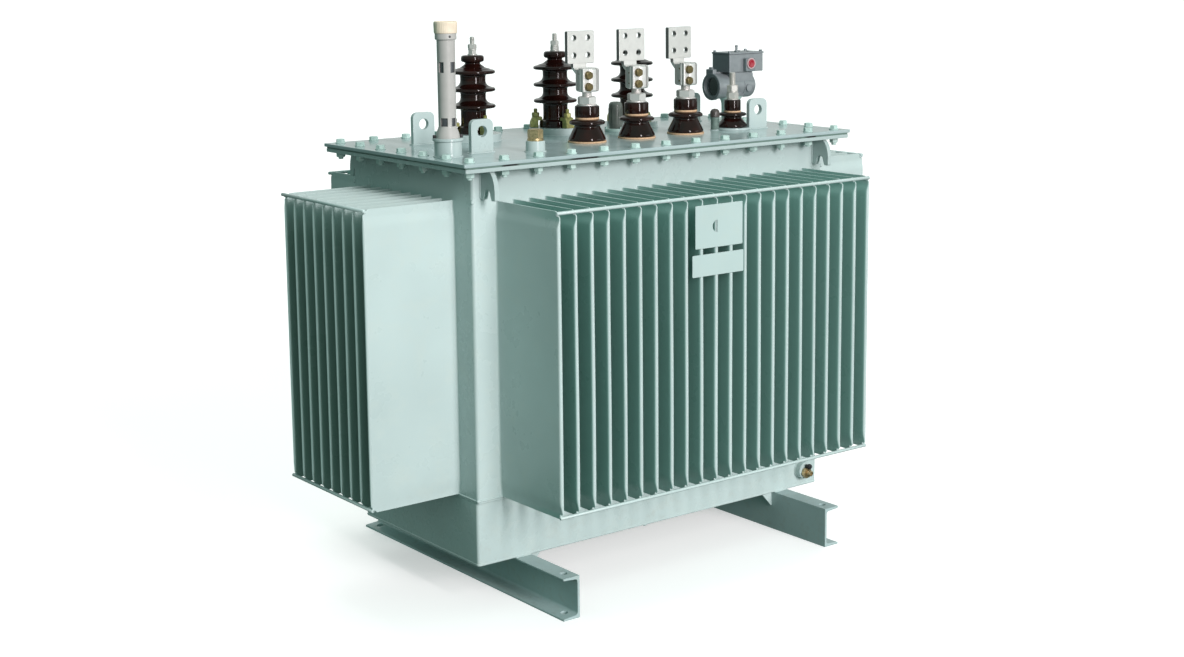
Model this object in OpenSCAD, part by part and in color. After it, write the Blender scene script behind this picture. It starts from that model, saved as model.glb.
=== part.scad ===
// Oil-immersed distribution transformer, sealed corrugated tank, about 800 kVA.
// Origin: centre of the four foundation holes, on the floor. +X runs along the
// long front, -Y is the low-voltage side, +Z is up. Millimetres.

/* [Tank] */
// Outer length of the tank walls, along X
tank_l = 1082; // [1060:2:1110]
// Outer depth of the tank walls, along Y
tank_w = 524; // [510:2:540]
// Thickness of the tank walls
wall_t = 4; // [3:0.5:6]
// Height of the top of the walls above the floor
wall_top = 1021; // [1010:1:1040]
// Height of the joint between pan and walls
pan_top = 258; // [240:1:262]
// How far the pan stands in from the walls along X
pan_in_x = 2; // [1:0.5:6]
// How far the pan stands in from the walls along Y
pan_in_y = 7; // [1:0.5:10]
// Thickness of the pan's plate
pan_t = 6; // [4:1:10]

/* [Cooling fins] */
// Fin pitch
fin_pitch = 45; // [44:0.5:46]
// Fin thickness over the oil channel
fin_t = 10; // [8:0.5:12]
// Thickness where the fin's ends are pressed flat
fin_pinch = 3; // [2:0.5:5]
// Depth of the fins from the wall to the tip
fin_d = 235; // [220:1:240]
// Bottom of the fins
fin_z0 = 259; // [259:1:266]
// Top of the fins
fin_z1 = 947; // [930:1:950]
// Number of fins on the front and on the rear
fins_long = 22; // [18:2:22]
// Number of fins on each end
fins_short = 9; // [5:2:9]
// Diameter of the rods that tie the fin tips
rod_d = 8; // [6:1:10]
// How much higher the right-hand bank sits
right_lift = 9; // [0:1:12]

/* [Base] */
// Height of the skid channels
skid_h = 100; // [80:1:110]
// Width of the channel flanges
skid_b = 46; // [42:1:60]
// Plate thickness of the channels
skid_t = 6; // [5:0.5:8]
// Length of each skid, along Y
skid_l = 886; // [860:2:920]
// Spacing of the foundation holes, the same both ways
gauge = 820; // [816:2:824]
// Diameter of the foundation holes
found_d = 18; // [12:1:20]

/* [Top] */
// Cover length, along X
cover_l = 1186; // [1180:2:1200]
// Cover depth, along Y
cover_w = 628; // [620:2:640]
// Cover thickness
cover_t = 8; // [6:1:12]
// Gasket thickness
gasket_t = 4; // [3:0.5:6]
// Thickness of the tank's top frame
frame_t = 9; // [8:1:12]
// Diameter of the holes in the lifting lugs
lug_hole = 26; // [20:1:32]

/* [Bushings] */
// X of the first low-voltage bushing
lv_x0 = -102; // [-110:1:-95]
// Pitch of the low-voltage bushings, neutral included
lv_pitch = 159; // [155:1:162]
// Y of the low-voltage row
lv_y = -103; // [-110:1:-98]
// X of the first high-voltage bushing
hv_x0 = -281; // [-292:1:-276]
// Pitch of the high-voltage bushings
hv_pitch = 250; // [245:1:252]
// Y of the high-voltage row
hv_y = 118; // [112:1:124]
// Diameter of the holes in the terminal flags
flag_hole = 14; // [10:0.5:16]
// Spacing of the holes in the terminal flags, the same both ways
flag_pitch = 42; // [38:1:45]
// Diameter of the high-voltage studs
hv_stud = 12; // [10:1:16]
// Diameter of the neutral stud
n_stud = 16; // [12:1:20]

/* [Hidden] */
$fn = 64;
e = 0.01;
hl = tank_l / 2;
hw = tank_w / 2;
zf = wall_top + frame_t;         // top of the frame
zg = zf + gasket_t;              // top of the gasket
zc = zg + cover_t;               // top of the cover
web = gauge / 2 - 21;            // back of a skid's web, from the middle
paint = [0.72, 0.84, 0.81];
glaze = [0.16, 0.05, 0.04];
tan = [0.74, 0.58, 0.44];
silver = [0.80, 0.81, 0.80];
zinc = [0.48, 0.50, 0.25];
grey = [0.76, 0.76, 0.74];
castgrey = [0.45, 0.49, 0.52];
brass = [0.62, 0.50, 0.26];
black = [0.06, 0.06, 0.06];

function hv_x(i) = hv_x0 + i * hv_pitch;
// the first low-voltage bushing stands 5 mm nearer to its neighbour
function lv_x(i) = lv_x0 + i * lv_pitch + (i == 0 ? 5 : 0);

module mirror_x() { children(); mirror([1, 0, 0]) children(); }
module mirror_y() { children(); mirror([0, 1, 0]) children(); }
// hexagon prism, af across flats
module hex(af, h) { cylinder(d = af / cos(30), h = h, $fn = 6); }
// round bar along Y, centred
module bar_y(d, l) { rotate([90, 0, 0]) cylinder(d = d, h = l, center = true); }
module bar_x(d, l) { rotate([0, 90, 0]) cylinder(d = d, h = l, center = true); }

// --- base ---------------------------------------------------------------
module skid() {
  difference() {
    union() {
      translate([web, -skid_l / 2, 0]) cube([skid_t, skid_l, skid_h]);
      translate([web, -skid_l / 2, 0]) cube([skid_b, skid_l, skid_t]);
      translate([web, -skid_l / 2, skid_h - skid_t]) cube([skid_b, skid_l, skid_t]);
    }
    for (y = [-1, 1]) {
      translate([gauge / 2, y * gauge / 2, -1]) cylinder(d = found_d, h = skid_t + 2);
      translate([gauge / 2, y * gauge / 2, skid_h - skid_t - 1]) cylinder(d = found_d, h = skid_t + 2);
    }
  }
}
module skid_right() { color(paint) skid(); }
module skid_left() { color(paint) mirror([1, 0, 0]) skid(); }

// triangular plates between the pan's underside and the inner side of the webs
module skid_gussets() {
  color(paint) mirror_x() mirror_y()
    translate([web, -hw + pan_in_y + 10, skid_h])
      rotate([90, 0, 0]) linear_extrude(height = 6)
        polygon([[0, 0], [-35, 0], [0, -37]]);
}

// shallow plate pan with a lip that carries the walls
module base_pan() {
  px = hl - pan_in_x; py = hw - pan_in_y;
  color(paint) difference() {
    union() {
      translate([-px, -py, skid_h]) cube([2 * px, 2 * py, pan_top - skid_h]);
      translate([-hl, -hw, pan_top - 6]) cube([2 * hl, 2 * hw, 6]);
    }
    translate([-px + pan_t, -py + pan_t, skid_h + pan_t])
      cube([2 * (px - pan_t), 2 * (py - pan_t), pan_top]);
  }
}

// boss with a small sampling cock: hexagon body, spout and a knob above it
module drain_valve() {
  translate([484, -hw + pan_in_y, 146]) rotate([90, 0, 0]) {
    color(paint) cylinder(d = 46, h = 20);
    color(brass) translate([-4, -4, 20]) hex(27, 12);
    color(brass) translate([-2, -4, 32]) cylinder(d = 17, h = 10);
    color(black) translate([-1, 13, 24]) cylinder(d = 12, h = 14);
  }
}

// --- walls --------------------------------------------------------------
module front_wall() { color(paint) translate([-hl, -hw, pan_top]) cube([tank_l, wall_t, wall_top - pan_top]); }
module rear_wall() { color(paint) translate([-hl, hw - wall_t, pan_top]) cube([tank_l, wall_t, wall_top - pan_top]); }
module left_wall() { color(paint) translate([-hl, -hw + wall_t, pan_top]) cube([wall_t, tank_w - 2 * wall_t, wall_top - pan_top]); }
module right_wall() { color(paint) translate([hl - wall_t, -hw + wall_t, pan_top]) cube([wall_t, tank_w - 2 * wall_t, wall_top - pan_top]); }

// one fin, root at Y = 0, tip towards -Y; it thins towards its pressed ends,
// its nose is rounded and its tip corners are cut away inside the tie rods
module fin() {
  a = fin_pinch / 2; b = fin_t / 2;
  c = rod_d / 2 * (2 + sqrt(2));
  intersection() {
    rotate([90, 0, 0]) linear_extrude(height = fin_d)
      polygon([[-a, fin_z0], [a, fin_z0], [b, fin_z0 + 50], [b, fin_z1 - 44], [a, fin_z1],
               [-a, fin_z1], [-b, fin_z1 - 44], [-b, fin_z0 + 50]]);
    union() {
      translate([-b, -fin_d + b, fin_z0]) cube([fin_t, fin_d - b, fin_z1 - fin_z0]);
      translate([0, -fin_d + b, fin_z0]) cylinder(r = b, h = fin_z1 - fin_z0);
    }
    rotate([90, 0, 90]) linear_extrude(height = 2 * fin_t, center = true)
      polygon([[0, fin_z0], [-fin_d + c, fin_z0], [-fin_d, fin_z0 + c],
               [-fin_d, fin_z1 - c], [-fin_d + c, fin_z1], [0, fin_z1]]);
  }
}
module fin_row(n) { for (i = [0:n - 1]) translate([(i - (n - 1) / 2) * fin_pitch, 0, 0]) fin(); }
// two rods along the tips of n fins, reaching a and b past the end fins' middles
module rods(n, a, b) {
  l = (n - 1) * fin_pitch / 2;
  for (z = [fin_z0 + rod_d / 2, fin_z1 - rod_d / 2])
    translate([(b - a) / 2, -fin_d + rod_d / 2, z]) bar_x(rod_d, 2 * l + a + b);
}
module front_fins() { color(paint) translate([0, -hw, 0]) fin_row(fins_long); }
module rear_fins() { color(paint) rotate([0, 0, 180]) translate([0, -hw, 0]) fin_row(fins_long); }
module left_fins() { color(paint) rotate([0, 0, -90]) translate([0, -hl, 0]) fin_row(fins_short); }
module right_fins() { color(paint) translate([0, 0, right_lift]) rotate([0, 0, 90]) translate([0, -hl, 0]) fin_row(fins_short); }
module fin_tie_rods() {
  color(paint) {
    translate([0, -hw, 0]) rods(fins_long, fin_t / 2, fin_t / 2);
    rotate([0, 0, 180]) translate([0, -hw, 0]) rods(fins_long, 11, 11);
    rotate([0, 0, -90]) translate([0, -hl, 0]) rods(fins_short, 16, 4);
    translate([0, 0, right_lift]) rotate([0, 0, 90]) translate([0, -hl, 0]) rods(fins_short, 4, 10);
  }
}

// --- frame, gasket, cover, contents --------------------------------------
module ring(x, y, xi, yi, z, t) {
  difference() {
    translate([-x, -y, z]) cube([2 * x, 2 * y, t]);
    translate([-xi, -yi, z - 1]) cube([2 * xi, 2 * yi, t + 2]);
  }
}
module top_frame() { color(paint) ring(cover_l / 2 - 5, cover_w / 2 - 2, hl - 12, hw - 12, wall_top, frame_t); }
module cover_gasket() { color(black) ring(cover_l / 2 - 6, cover_w / 2 - 2.5, hl - 2, hw - 2, zf, gasket_t); }
module cover() { color(paint) translate([-cover_l / 2, -cover_w / 2, zg]) cube([cover_l, cover_w, cover_t]); }
// sealed inside: core, windings and oil as one block
module core_and_oil() {
  color([0.5, 0.4, 0.2])
    translate([-hl + 14, -hw + 16, skid_h + pan_t]) cube([tank_l - 28, tank_w - 32, wall_top - skid_h - pan_t - 20]);
}

// hook plates under the frame, for slings round the whole unit: rounded
// towards the frame, with a notch that opens downwards between two legs
module hook() {
  rotate([90, 0, 90]) linear_extrude(height = 12, center = true)
    difference() {
      polygon([[0, 0], [40, 0], [46, -7], [52, -17], [56, -28], [58, -40], [58, -61],
               [55, -66], [0, -66]]);
      translate([28, -53]) circle(r = 11);
      polygon([[17.3, -55], [38.7, -55], [45.5, -80], [8, -80]]);
    }
}
module tank_hooks() {
  color(paint) mirror_x() {
    translate([hl - 28, hw, wall_top]) hook();
    mirror([0, 1, 0]) translate([hl - 28, hw, wall_top]) hook();
  }
}

module lug() {
  rotate([90, 0, 0]) linear_extrude(height = 12, center = true) difference() {
    union() {
      translate([-30.5, 0]) square([61, 64.5]);
      translate([-16.5, 0]) square([33, 78.5]);
      for (s = [-1, 1]) translate([s * 16.5, 64.5]) circle(r = 14);
    }
    translate([0, 50]) circle(d = lug_hole);
  }
}
module lifting_lugs() {
  color(paint) for (q = [[-427, -132], [433, -132], [-427, 121], [433, 132]]) translate([q[0], q[1], zc]) lug();
}

// --- high-voltage side ----------------------------------------------------
module hv_turrets() { color(paint) for (i = [0:2]) translate([hv_x(i), hv_y, zc]) cylinder(d = 134, h = 18); }
// half-outline of a high-voltage insulator, from the collar up
module hv_profile() {
  polygon([[0, 0], [41, 0], [41, 14], [38, 17], [31, 19],
           [31, 58], [35, 61], [54, 63], [55, 65], [55, 68], [53, 71], [38, 76], [31, 86],
           [31, 99], [35, 102], [54, 104], [55, 106], [55, 109], [53, 112], [38, 117], [31, 127],
           [31, 142], [35, 145], [54, 147], [55, 149], [55, 152], [53, 155], [38, 160], [23, 167],
           [19, 171], [19, 173], [26, 176], [28, 179], [28, 188], [25, 192], [0, 192]]);
}
module hv_insulators() {
  color(glaze) for (i = [0:2]) translate([hv_x(i), hv_y, zc + 18]) rotate_extrude() hv_profile();
}
module hv_studs() {
  color(silver) for (i = [0:2]) translate([hv_x(i), hv_y, zc + 210]) {
    cylinder(d = 24, h = 3);
    translate([0, 0, 3]) hex(19, 10);
    translate([0, 0, 13]) cylinder(d = 20, h = 3);
    translate([0, 0, 16]) hex(19, 11);
    cylinder(d = hv_stud, h = 45);
  }
}
// three clamps hold each collar down: a block outside the collar with a toe over it
module hv_clamps() {
  color(zinc) for (i = [0:2], a = [-90, 30, 150]) translate([hv_x(i), hv_y, zc + 18]) rotate(a) {
    translate([35, -12, 17.5]) cube([29, 24, 9]);
    translate([46, -12, 0]) cube([18, 24, 18]);
    translate([52, 0, 26]) hex(17, 10);
    translate([52, 0, 26]) cylinder(d = 10, h = 22);
  }
}

// --- low-voltage side -------------------------------------------------------
module lv_gaskets() {
  color(tan) for (i = [0:2]) translate([lv_x(i), lv_y, zc]) {
    cylinder(d = 94, h = 4);
    translate([0, 0, 56]) cylinder(d = 58, h = 5);
  }
}
module lv_insulators() {
  color(glaze) for (i = [0:2]) translate([lv_x(i), lv_y, zc]) {
    translate([0, 0, 4]) rotate_extrude()
      polygon([[0, 0], [44, 0], [45.5, 3], [44, 9], [32, 33], [31, 38], [41, 40], [43, 43], [42, 47], [34, 51], [28, 52], [0, 52]]);
    translate([0, 0, 61]) rotate_extrude() polygon([[0, 0], [29, 0], [30, 3], [30, 25], [28, 28], [0, 28]]);
  }
}
module lv_studs() {
  color(silver) for (i = [0:2]) translate([lv_x(i), lv_y, zc + 89]) {
    cylinder(d = 50, h = 3);
    translate([0, 0, 3]) hex(41, 19);
    cylinder(d = 24, h = 92);
  }
}
// how far each terminal is turned about its stud, anticlockwise from above,
// and how far its flag stands to one side
function turn(i) = [0, 0, 5.5][i];
function aside(i) = [-6, -2, -5][i];
// terminal: split clamp round the stud, a tongue at its back, and a four-hole flag
module flag(o) {
  p = flag_pitch / 2;
  difference() {
    union() {
      translate([2, 0, 34]) cylinder(d = 57, h = 57);
      translate([-30, -25, 34]) cube([35, 8.5, 57]);
      translate([-30, -15, 34]) cube([35, 7, 57]);
      translate([o / 2, 26, 0]) rotate([90, 0, 0]) linear_extrude(height = 12)
        polygon([[-27, 102], [-26, 92], [-20, 84], [-12, 75], [14, 75], [14, 102]]);
      translate([-40.5 + o, 14, 101]) cube([81, 12, 79]);
    }
    translate([0, 0, 20]) cylinder(d = 24, h = 80);
    translate([-40, -16.5, 33]) cube([36, 1.5, 59]);
    translate([2, 0, 33]) rotate(-74) translate([25, -1.5, 0]) cube([8, 3, 59]);
    for (x = [-p, p], z = [142 - p, 142 + p]) translate([o + x, 20, z]) bar_y(flag_hole, 30);
  }
}
module lv_flags() {
  color(silver) for (i = [0:2]) translate([lv_x(i), lv_y, zc + 89]) rotate(turn(i)) flag(aside(i));
}
module lv_clamp_bolts() {
  color(brass) for (i = [0:2], z = [46.5, 74.5]) translate([lv_x(i), lv_y, zc + 89]) rotate(turn(i))
    translate([-14.5, -25, z]) rotate([90, 0, 0]) hex(18, 7);
}

module neutral_pad() { color(paint) translate([lv_x(3), lv_y, zc]) cylinder(d = 92, h = 6); }
module neutral_insulator() {
  color(glaze) translate([lv_x(3), lv_y, zc + 6]) {
    rotate_extrude() polygon([[0, 0], [36, 0], [38, 3], [37, 8], [23.5, 24], [23.5, 27], [35, 30], [36, 34], [34, 37], [24, 39], [0, 39]]);
  }
  color(tan) translate([lv_x(3), lv_y, zc + 45]) cylinder(d = 42, h = 4);
  color(glaze) translate([lv_x(3), lv_y, zc + 49]) cylinder(d = 43, h = 28);
}
module neutral_stud() {
  color(silver) translate([lv_x(3), lv_y, zc + 77]) {
    cylinder(d = 32, h = 3);
    translate([0, 0, 3]) hex(27, 16);
    translate([0, 0, 19]) cylinder(d = 29, h = 3);
    translate([0, 0, 22]) hex(27, 16);
    cylinder(d = n_stud, h = 70);
  }
}

// --- gauge, relay and small fittings ----------------------------------------
gx = -528; gy = -148;
module gauge_stub() {
  color(paint) translate([gx, gy, zc]) {
    cylinder(d = 63, h = 36);
    translate([0, 0, 36]) cylinder(d = 70, h = 7);
  }
}
module oil_gauge() {
  color(grey) translate([gx, gy, zc + 43]) rotate_extrude()
    polygon([[0, 0], [27.5, 0], [26.5, 8], [22.5, 20], [20.5, 26], [20.5, 222], [24.5, 222], [24.5, 236], [0, 236]]);
}
module gauge_cap() {
  color([0.88, 0.80, 0.67]) translate([gx, gy, zc + 279]) rotate_extrude()
    polygon([[0, 0], [26, 0], [27, 2], [27, 24], [25, 27], [0, 27]]);
}

// protection relay: neck, lying barrel with a glazed port at its -X end,
// and a terminal box with a push button on top
rx = 477; ry = 20;
module relay_neck() {
  color(paint) translate([rx, ry, zc]) {
    cylinder(d = 96, h = 10);
    cylinder(d = 48, h = 76);
    translate([0, 0, 52]) cylinder(d1 = 48, d2 = 66, h = 24);
  }
}
module relay_body() {
  color(castgrey) translate([0, ry, zc + 102]) difference() {
    union() {
      translate([408, 0, 0]) rotate([0, 90, 0]) cylinder(r = 36, h = 11);
      translate([408, 0, 0]) rotate([0, 90, 0]) cylinder(r = 33, h = 129);
      translate([537, 0, 0]) rotate([0, 90, 0]) cylinder(r1 = 33, r2 = 23, h = 10);
      translate([450, -30, 0]) cube([80, 60, 37]);
      translate([408, -8, 28]) cube([16, 30, 18]);
    }
    translate([400, 0, 0]) rotate([0, 90, 0]) cylinder(r = 27, h = 24);
    translate([rx, 0, -60]) cylinder(d = 66, h = 34);
  }
}
module relay_glass() { color(black) translate([419, ry, zc + 102]) rotate([0, 90, 0]) cylinder(r = 27, h = 5); }
module relay_box() {
  color(castgrey) translate([504, ry + 1, zc + 139]) {
    translate([-60, -35, 0]) cube([120, 70, 47]);
    translate([-62, -37, 47]) cube([124, 74, 5]);
  }
}
module relay_button() {
  translate([510, ry - 34, zc + 161]) rotate([90, 0, 0]) {
    color(castgrey) translate([-17, -20, 0]) cube([34, 34, 10]);
    color("crimson") translate([0, 0, 10]) cylinder(d = 22, h = 5);
  }
}

module filler_boss() { color(paint) translate([-320, -198, zc]) cylinder(d = 46, h = 26); }
module filler_plug() {
  color(brass) translate([-320, -198, zc + 26]) {
    cylinder(d = 38, h = 5);
    translate([0, 0, 5]) hex(32, 22);
  }
}
module vent_valve() {
  color(paint) translate([326, -90, zc]) cylinder(d = 21, h = 34);
  color(black) translate([326, -90, zc + 34]) cylinder(d = 25, h = 22);
}
module tap_changer() {
  translate([120, 62, zc]) {
    color(paint) cylinder(d = 58, h = 8);
    color(black) translate([0, 0, 8]) cylinder(d = 36, h = 68);
  }
}

// two bare plates in front of the fins, the upper one with a half-moon opening
module nameplates() {
  color(paint) translate([0, -hw - fin_d - 2, 0]) {
    difference() {
      translate([-90, 0, 824]) cube([144, 2, 100]);
      intersection() {
        translate([-24, 0, 873]) bar_y(28, 20);
        translate([-44, -10, 850]) cube([20, 20, 46]);
      }
    }
    translate([-99, 0, 759]) cube([156, 2, 51]);
  }
}

skid_left();
skid_right();
skid_gussets();
base_pan();
drain_valve();
front_wall();
rear_wall();
left_wall();
right_wall();
front_fins();
rear_fins();
left_fins();
right_fins();
fin_tie_rods();
top_frame();
cover_gasket();
cover();
core_and_oil();
tank_hooks();
lifting_lugs();
hv_turrets();
hv_insulators();
hv_studs();
hv_clamps();
lv_gaskets();
lv_insulators();
lv_studs();
lv_flags();
lv_clamp_bolts();
neutral_pad();
neutral_insulator();
neutral_stud();
gauge_stub();
oil_gauge();
gauge_cap();
relay_neck();
relay_body();
relay_glass();
relay_box();
relay_button();
filler_boss();
filler_plug();
vent_valve();
tap_changer();
nameplates();
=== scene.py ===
import bpy
import bmesh
import math
import random
import numpy as np
from math import sin, cos, tan, pi, radians, hypot, atan2, acos
from mathutils import Matrix, Vector
from mathutils.geometry import tessellate_polygon


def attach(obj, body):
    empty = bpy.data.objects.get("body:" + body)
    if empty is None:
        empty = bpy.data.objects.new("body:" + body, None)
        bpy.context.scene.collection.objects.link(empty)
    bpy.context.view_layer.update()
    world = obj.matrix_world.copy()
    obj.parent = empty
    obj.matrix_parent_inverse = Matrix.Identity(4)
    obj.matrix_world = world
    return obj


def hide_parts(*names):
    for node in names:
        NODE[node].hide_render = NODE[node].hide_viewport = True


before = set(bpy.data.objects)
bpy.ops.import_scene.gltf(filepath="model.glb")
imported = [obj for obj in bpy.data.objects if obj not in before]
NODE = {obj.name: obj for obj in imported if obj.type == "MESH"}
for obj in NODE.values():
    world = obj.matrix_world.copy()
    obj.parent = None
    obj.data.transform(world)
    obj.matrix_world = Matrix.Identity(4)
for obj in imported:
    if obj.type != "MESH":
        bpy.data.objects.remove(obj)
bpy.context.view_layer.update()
scene = bpy.context.scene

# ----------------------------------------------------------------------------
# main dimensions, in millimetres, as in the CAD
# ----------------------------------------------------------------------------
HL, HW = 541.0, 262.0              # outer half length and half depth of the walls
SKID_H = 100.0
PAN_TOP = 258.0
FZ0, FZ1, FD = 259.0, 947.0, 235.0
WALL_TOP = 1021.0
ZF = 1030.0                        # top of the frame
ZG = 1034.0                        # top of the gasket
ZC = 1042.0                        # top of the cover
PITCH = 45.0
N_LONG, N_SHORT = 22, 9
HV = [(-281 + 250 * i, 118) for i in range(3)]
LV = [(-97, -103), (57, -103), (216, -103), (375, -103)]
GX, GY = -528, -148
RX, RY = 477, 20

# ----------------------------------------------------------------------------
# camera
# ----------------------------------------------------------------------------
YAW, PITCHA, ROLL = radians(52.774), radians(9.002), radians(-0.575)
fwd = Vector((cos(YAW) * cos(PITCHA), sin(YAW) * cos(PITCHA), -sin(PITCHA)))
right = Vector((sin(YAW), -cos(YAW), 0.0))
up = right.cross(fwd)
r2 = right * cos(ROLL) + up * sin(ROLL)
u2 = -right * sin(ROLL) + up * cos(ROLL)
cam_data = bpy.data.cameras.new("camera")
cam_data.sensor_fit = "HORIZONTAL"
cam_data.sensor_width = 36.0
cam_data.lens = 1788.455 / 1184 * 36.0
cam_data.shift_x = 0.0
cam_data.shift_y = (240 - 328.5) / 1184
cam_data.clip_end = 500.0
cam = bpy.data.objects.new("camera", cam_data)
scene.collection.objects.link(cam)
cam.matrix_world = Matrix(((r2.x, u2.x, -fwd.x, -2.71623),
                           (r2.y, u2.y, -fwd.y, -3.56507),
                           (r2.z, u2.z, -fwd.z, 1.48765),
                           (0, 0, 0, 1)))
scene.camera = cam


# ----------------------------------------------------------------------------
# shape tools: every one gives (points, faces) in millimetres
# ----------------------------------------------------------------------------
def T(x=0, y=0, z=0):
    return Matrix.Translation((x, y, z))


def R(deg, axis):
    return Matrix.Rotation(radians(deg), 4, axis)


def axes(ax, ay, az, o=(0, 0, 0)):
    """Matrix that takes local x, y, z to the three directions and the origin to o."""
    return Matrix(((ax[0], ay[0], az[0], o[0]), (ax[1], ay[1], az[1], o[1]),
                   (ax[2], ay[2], az[2], o[2]), (0, 0, 0, 1)))


XZ = lambda o=(0, 0, 0): axes((1, 0, 0), (0, 0, 1), (0, -1, 0), o)    # drawn in X, Z; thickness towards -Y
YZ = lambda o=(0, 0, 0): axes((0, 1, 0), (0, 0, 1), (1, 0, 0), o)     # drawn in Y, Z; thickness towards +X


class Part:
    """A growing mesh."""

    def __init__(self):
        self.V, self.F, self.n = [], [], 0

    def add(self, vf, M=None):
        if isinstance(vf, Part):
            vf = vf.out()
        v = np.asarray(vf[0], float).reshape(-1, 3)
        if M is not None:
            m = np.array(M)
            v = v @ m[:3, :3].T + m[:3, 3]
        n = self.n
        self.V.append(v)
        self.F.extend([tuple(i + n for i in f) for f in vf[1]])
        self.n += len(v)
        return self

    def out(self):
        return np.vstack(self.V), self.F


def fillet(pts, r=0.0, n=4, closed=False):
    """Rounds the corners of a 2-D line; a point may carry its own radius."""
    out = []
    N = len(pts)
    for i, p in enumerate(pts):
        rr = p[2] if len(p) > 2 else r
        b = np.array(p[:2], float)
        if (not closed and i in (0, N - 1)) or not rr:
            out.append((b[0], b[1]))
            continue
        a = np.array(pts[i - 1][:2], float)
        c = np.array(pts[(i + 1) % N][:2], float)
        la, lc = np.linalg.norm(a - b), np.linalg.norm(c - b)
        u, v = (a - b) / la, (c - b) / lc
        ang = acos(max(-1, min(1, float(u @ v))))
        if ang > pi - 0.02:
            out.append((b[0], b[1]))
            continue
        d = min(rr / tan(ang / 2), 0.49 * la, 0.49 * lc)
        ra = d * tan(ang / 2)
        w = (u + v) / np.linalg.norm(u + v)
        ce = b + w * ra / sin(ang / 2)
        p0, p1 = b + u * d, b + v * d
        a0, a1 = atan2(*(p0 - ce)[::-1]), atan2(*(p1 - ce)[::-1])
        da = (a1 - a0 + pi) % (2 * pi) - pi
        for k in range(n + 1):
            t = a0 + da * k / n
            out.append((ce[0] + ra * cos(t), ce[1] + ra * sin(t)))
    return out


def spline(pts, n=4):
    """Catmull-Rom line through 2-D points; a point with a third value stays a corner."""
    P = [np.array(p[:2], float) for p in pts]
    hard = [len(p) > 2 for p in pts]
    out = [tuple(P[0])]
    for i in range(len(P) - 1):
        a, b = P[i], P[i + 1]
        pa = P[i - 1] if i > 0 and not hard[i] else a - (b - a) * 0.001
        pb = P[i + 2] if i + 2 < len(P) and not hard[i + 1] else b + (b - a) * 0.001
        t0 = 0
        t1 = t0 + max(1e-4, np.linalg.norm(a - pa)) ** 0.5
        t2 = t1 + max(1e-4, np.linalg.norm(b - a)) ** 0.5
        t3 = t2 + max(1e-4, np.linalg.norm(pb - b)) ** 0.5
        for k in range(1, n + 1):
            t = t1 + (t2 - t1) * k / n
            A1 = pa * (t1 - t) / (t1 - t0) + a * (t - t0) / (t1 - t0)
            A2 = a * (t2 - t) / (t2 - t1) + b * (t - t1) / (t2 - t1)
            A3 = b * (t3 - t) / (t3 - t2) + pb * (t - t2) / (t3 - t2)
            B1 = A1 * (t2 - t) / (t2 - t0) + A2 * (t - t0) / (t2 - t0)
            B2 = A2 * (t3 - t) / (t3 - t1) + A3 * (t - t1) / (t3 - t1)
            c = B1 * (t2 - t) / (t2 - t1) + B2 * (t - t1) / (t2 - t1)
            out.append((float(c[0]), float(c[1])))
    return out


def lathe(prof, seg=48, ring=False):
    """Turns a (radius, z) line; ends off the axis are capped, or ring=True closes it on itself."""
    V, F, rings = [], [], []
    for r, z in prof:
        if r < 1e-6:
            rings.append([len(V)])
            V.append((0, 0, z))
        else:
            rings.append(list(range(len(V), len(V) + seg)))
            V += [(r * cos(2 * pi * k / seg), r * sin(2 * pi * k / seg), z) for k in range(seg)]
    pairs = list(zip(rings, rings[1:]))
    if ring:
        pairs.append((rings[-1], rings[0]))
    for A, B in pairs:
        for k in range(seg):
            q = (k + 1) % seg
            if len(A) == 1 and len(B) == 1:
                break
            if len(A) == 1:
                F.append((A[0], B[q], B[k]))
            elif len(B) == 1:
                F.append((A[k], A[q], B[0]))
            else:
                F.append((A[k], A[q], B[q], B[k]))
    if not ring:
        if len(rings[0]) > 1:
            F.append(tuple(reversed(rings[0])))
        if len(rings[-1]) > 1:
            F.append(tuple(rings[-1]))
    return V, F


def disc(r, z0, z1, b=1.0, seg=40, n=2):
    """A turned disc with rounded edges."""
    p = [(0, z0)] + fillet([(0, z0), (r, z0, b), (r, z1, b), (0, z1)], n=n)[1:-1] + [(0, z1)]
    return lathe(p, seg)


def loft(rings, caps=True, closed=True):
    V, F = [], []
    n = len(rings[0])
    for r in rings:
        V += [tuple(p) for p in r]
    m = n if closed else n - 1
    for i in range(len(rings) - 1):
        a, b = i * n, (i + 1) * n
        for k in range(m):
            q = (k + 1) % n
            F.append((a + k, a + q, b + q, b + k))
    if caps:
        F.append(tuple(range(n - 1, -1, -1)))
        F.append(tuple((len(rings) - 1) * n + k for k in range(n)))
    return V, F


def rrect(hx, hy, r, n=4, cx=0, cy=0):
    out = []
    for sx, sy, a0 in ((1, 1, 0), (-1, 1, 90), (-1, -1, 180), (1, -1, 270)):
        for k in range(n + 1):
            a = radians(a0 + 90 * k / n)
            out.append((cx + sx * (hx - r) + r * cos(a), cy + sy * (hy - r) + r * sin(a)))
    return out


def shell(stations, n=4, caps=True):
    """Stacks rounded rectangles (half x, half y, radius, z)."""
    return loft([[(x, y, z) for x, y in rrect(hx, hy, r, n)] for hx, hy, r, z in stations], caps)


def area2(p):
    return sum(p[i - 1][0] * p[i][1] - p[i][0] * p[i - 1][1] for i in range(len(p)))


def inset(poly, d):
    if d == 0:
        return [tuple(p) for p in poly]
    out = []
    n = len(poly)
    for i in range(n):
        p0, p1, p2 = (np.array(poly[j % n][:2], float) for j in (i - 1, i, i + 1))
        e1, e2 = p1 - p0, p2 - p1
        e1 /= max(1e-9, np.linalg.norm(e1))
        e2 /= max(1e-9, np.linalg.norm(e2))
        n1, n2 = np.array((-e1[1], e1[0])), np.array((-e2[1], e2[0]))
        m = n1 + n2
        m /= max(1e-9, np.linalg.norm(m))
        p = p1 + m * d / max(0.35, float(m @ n1))
        out.append((p[0], p[1]))
    return out


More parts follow.
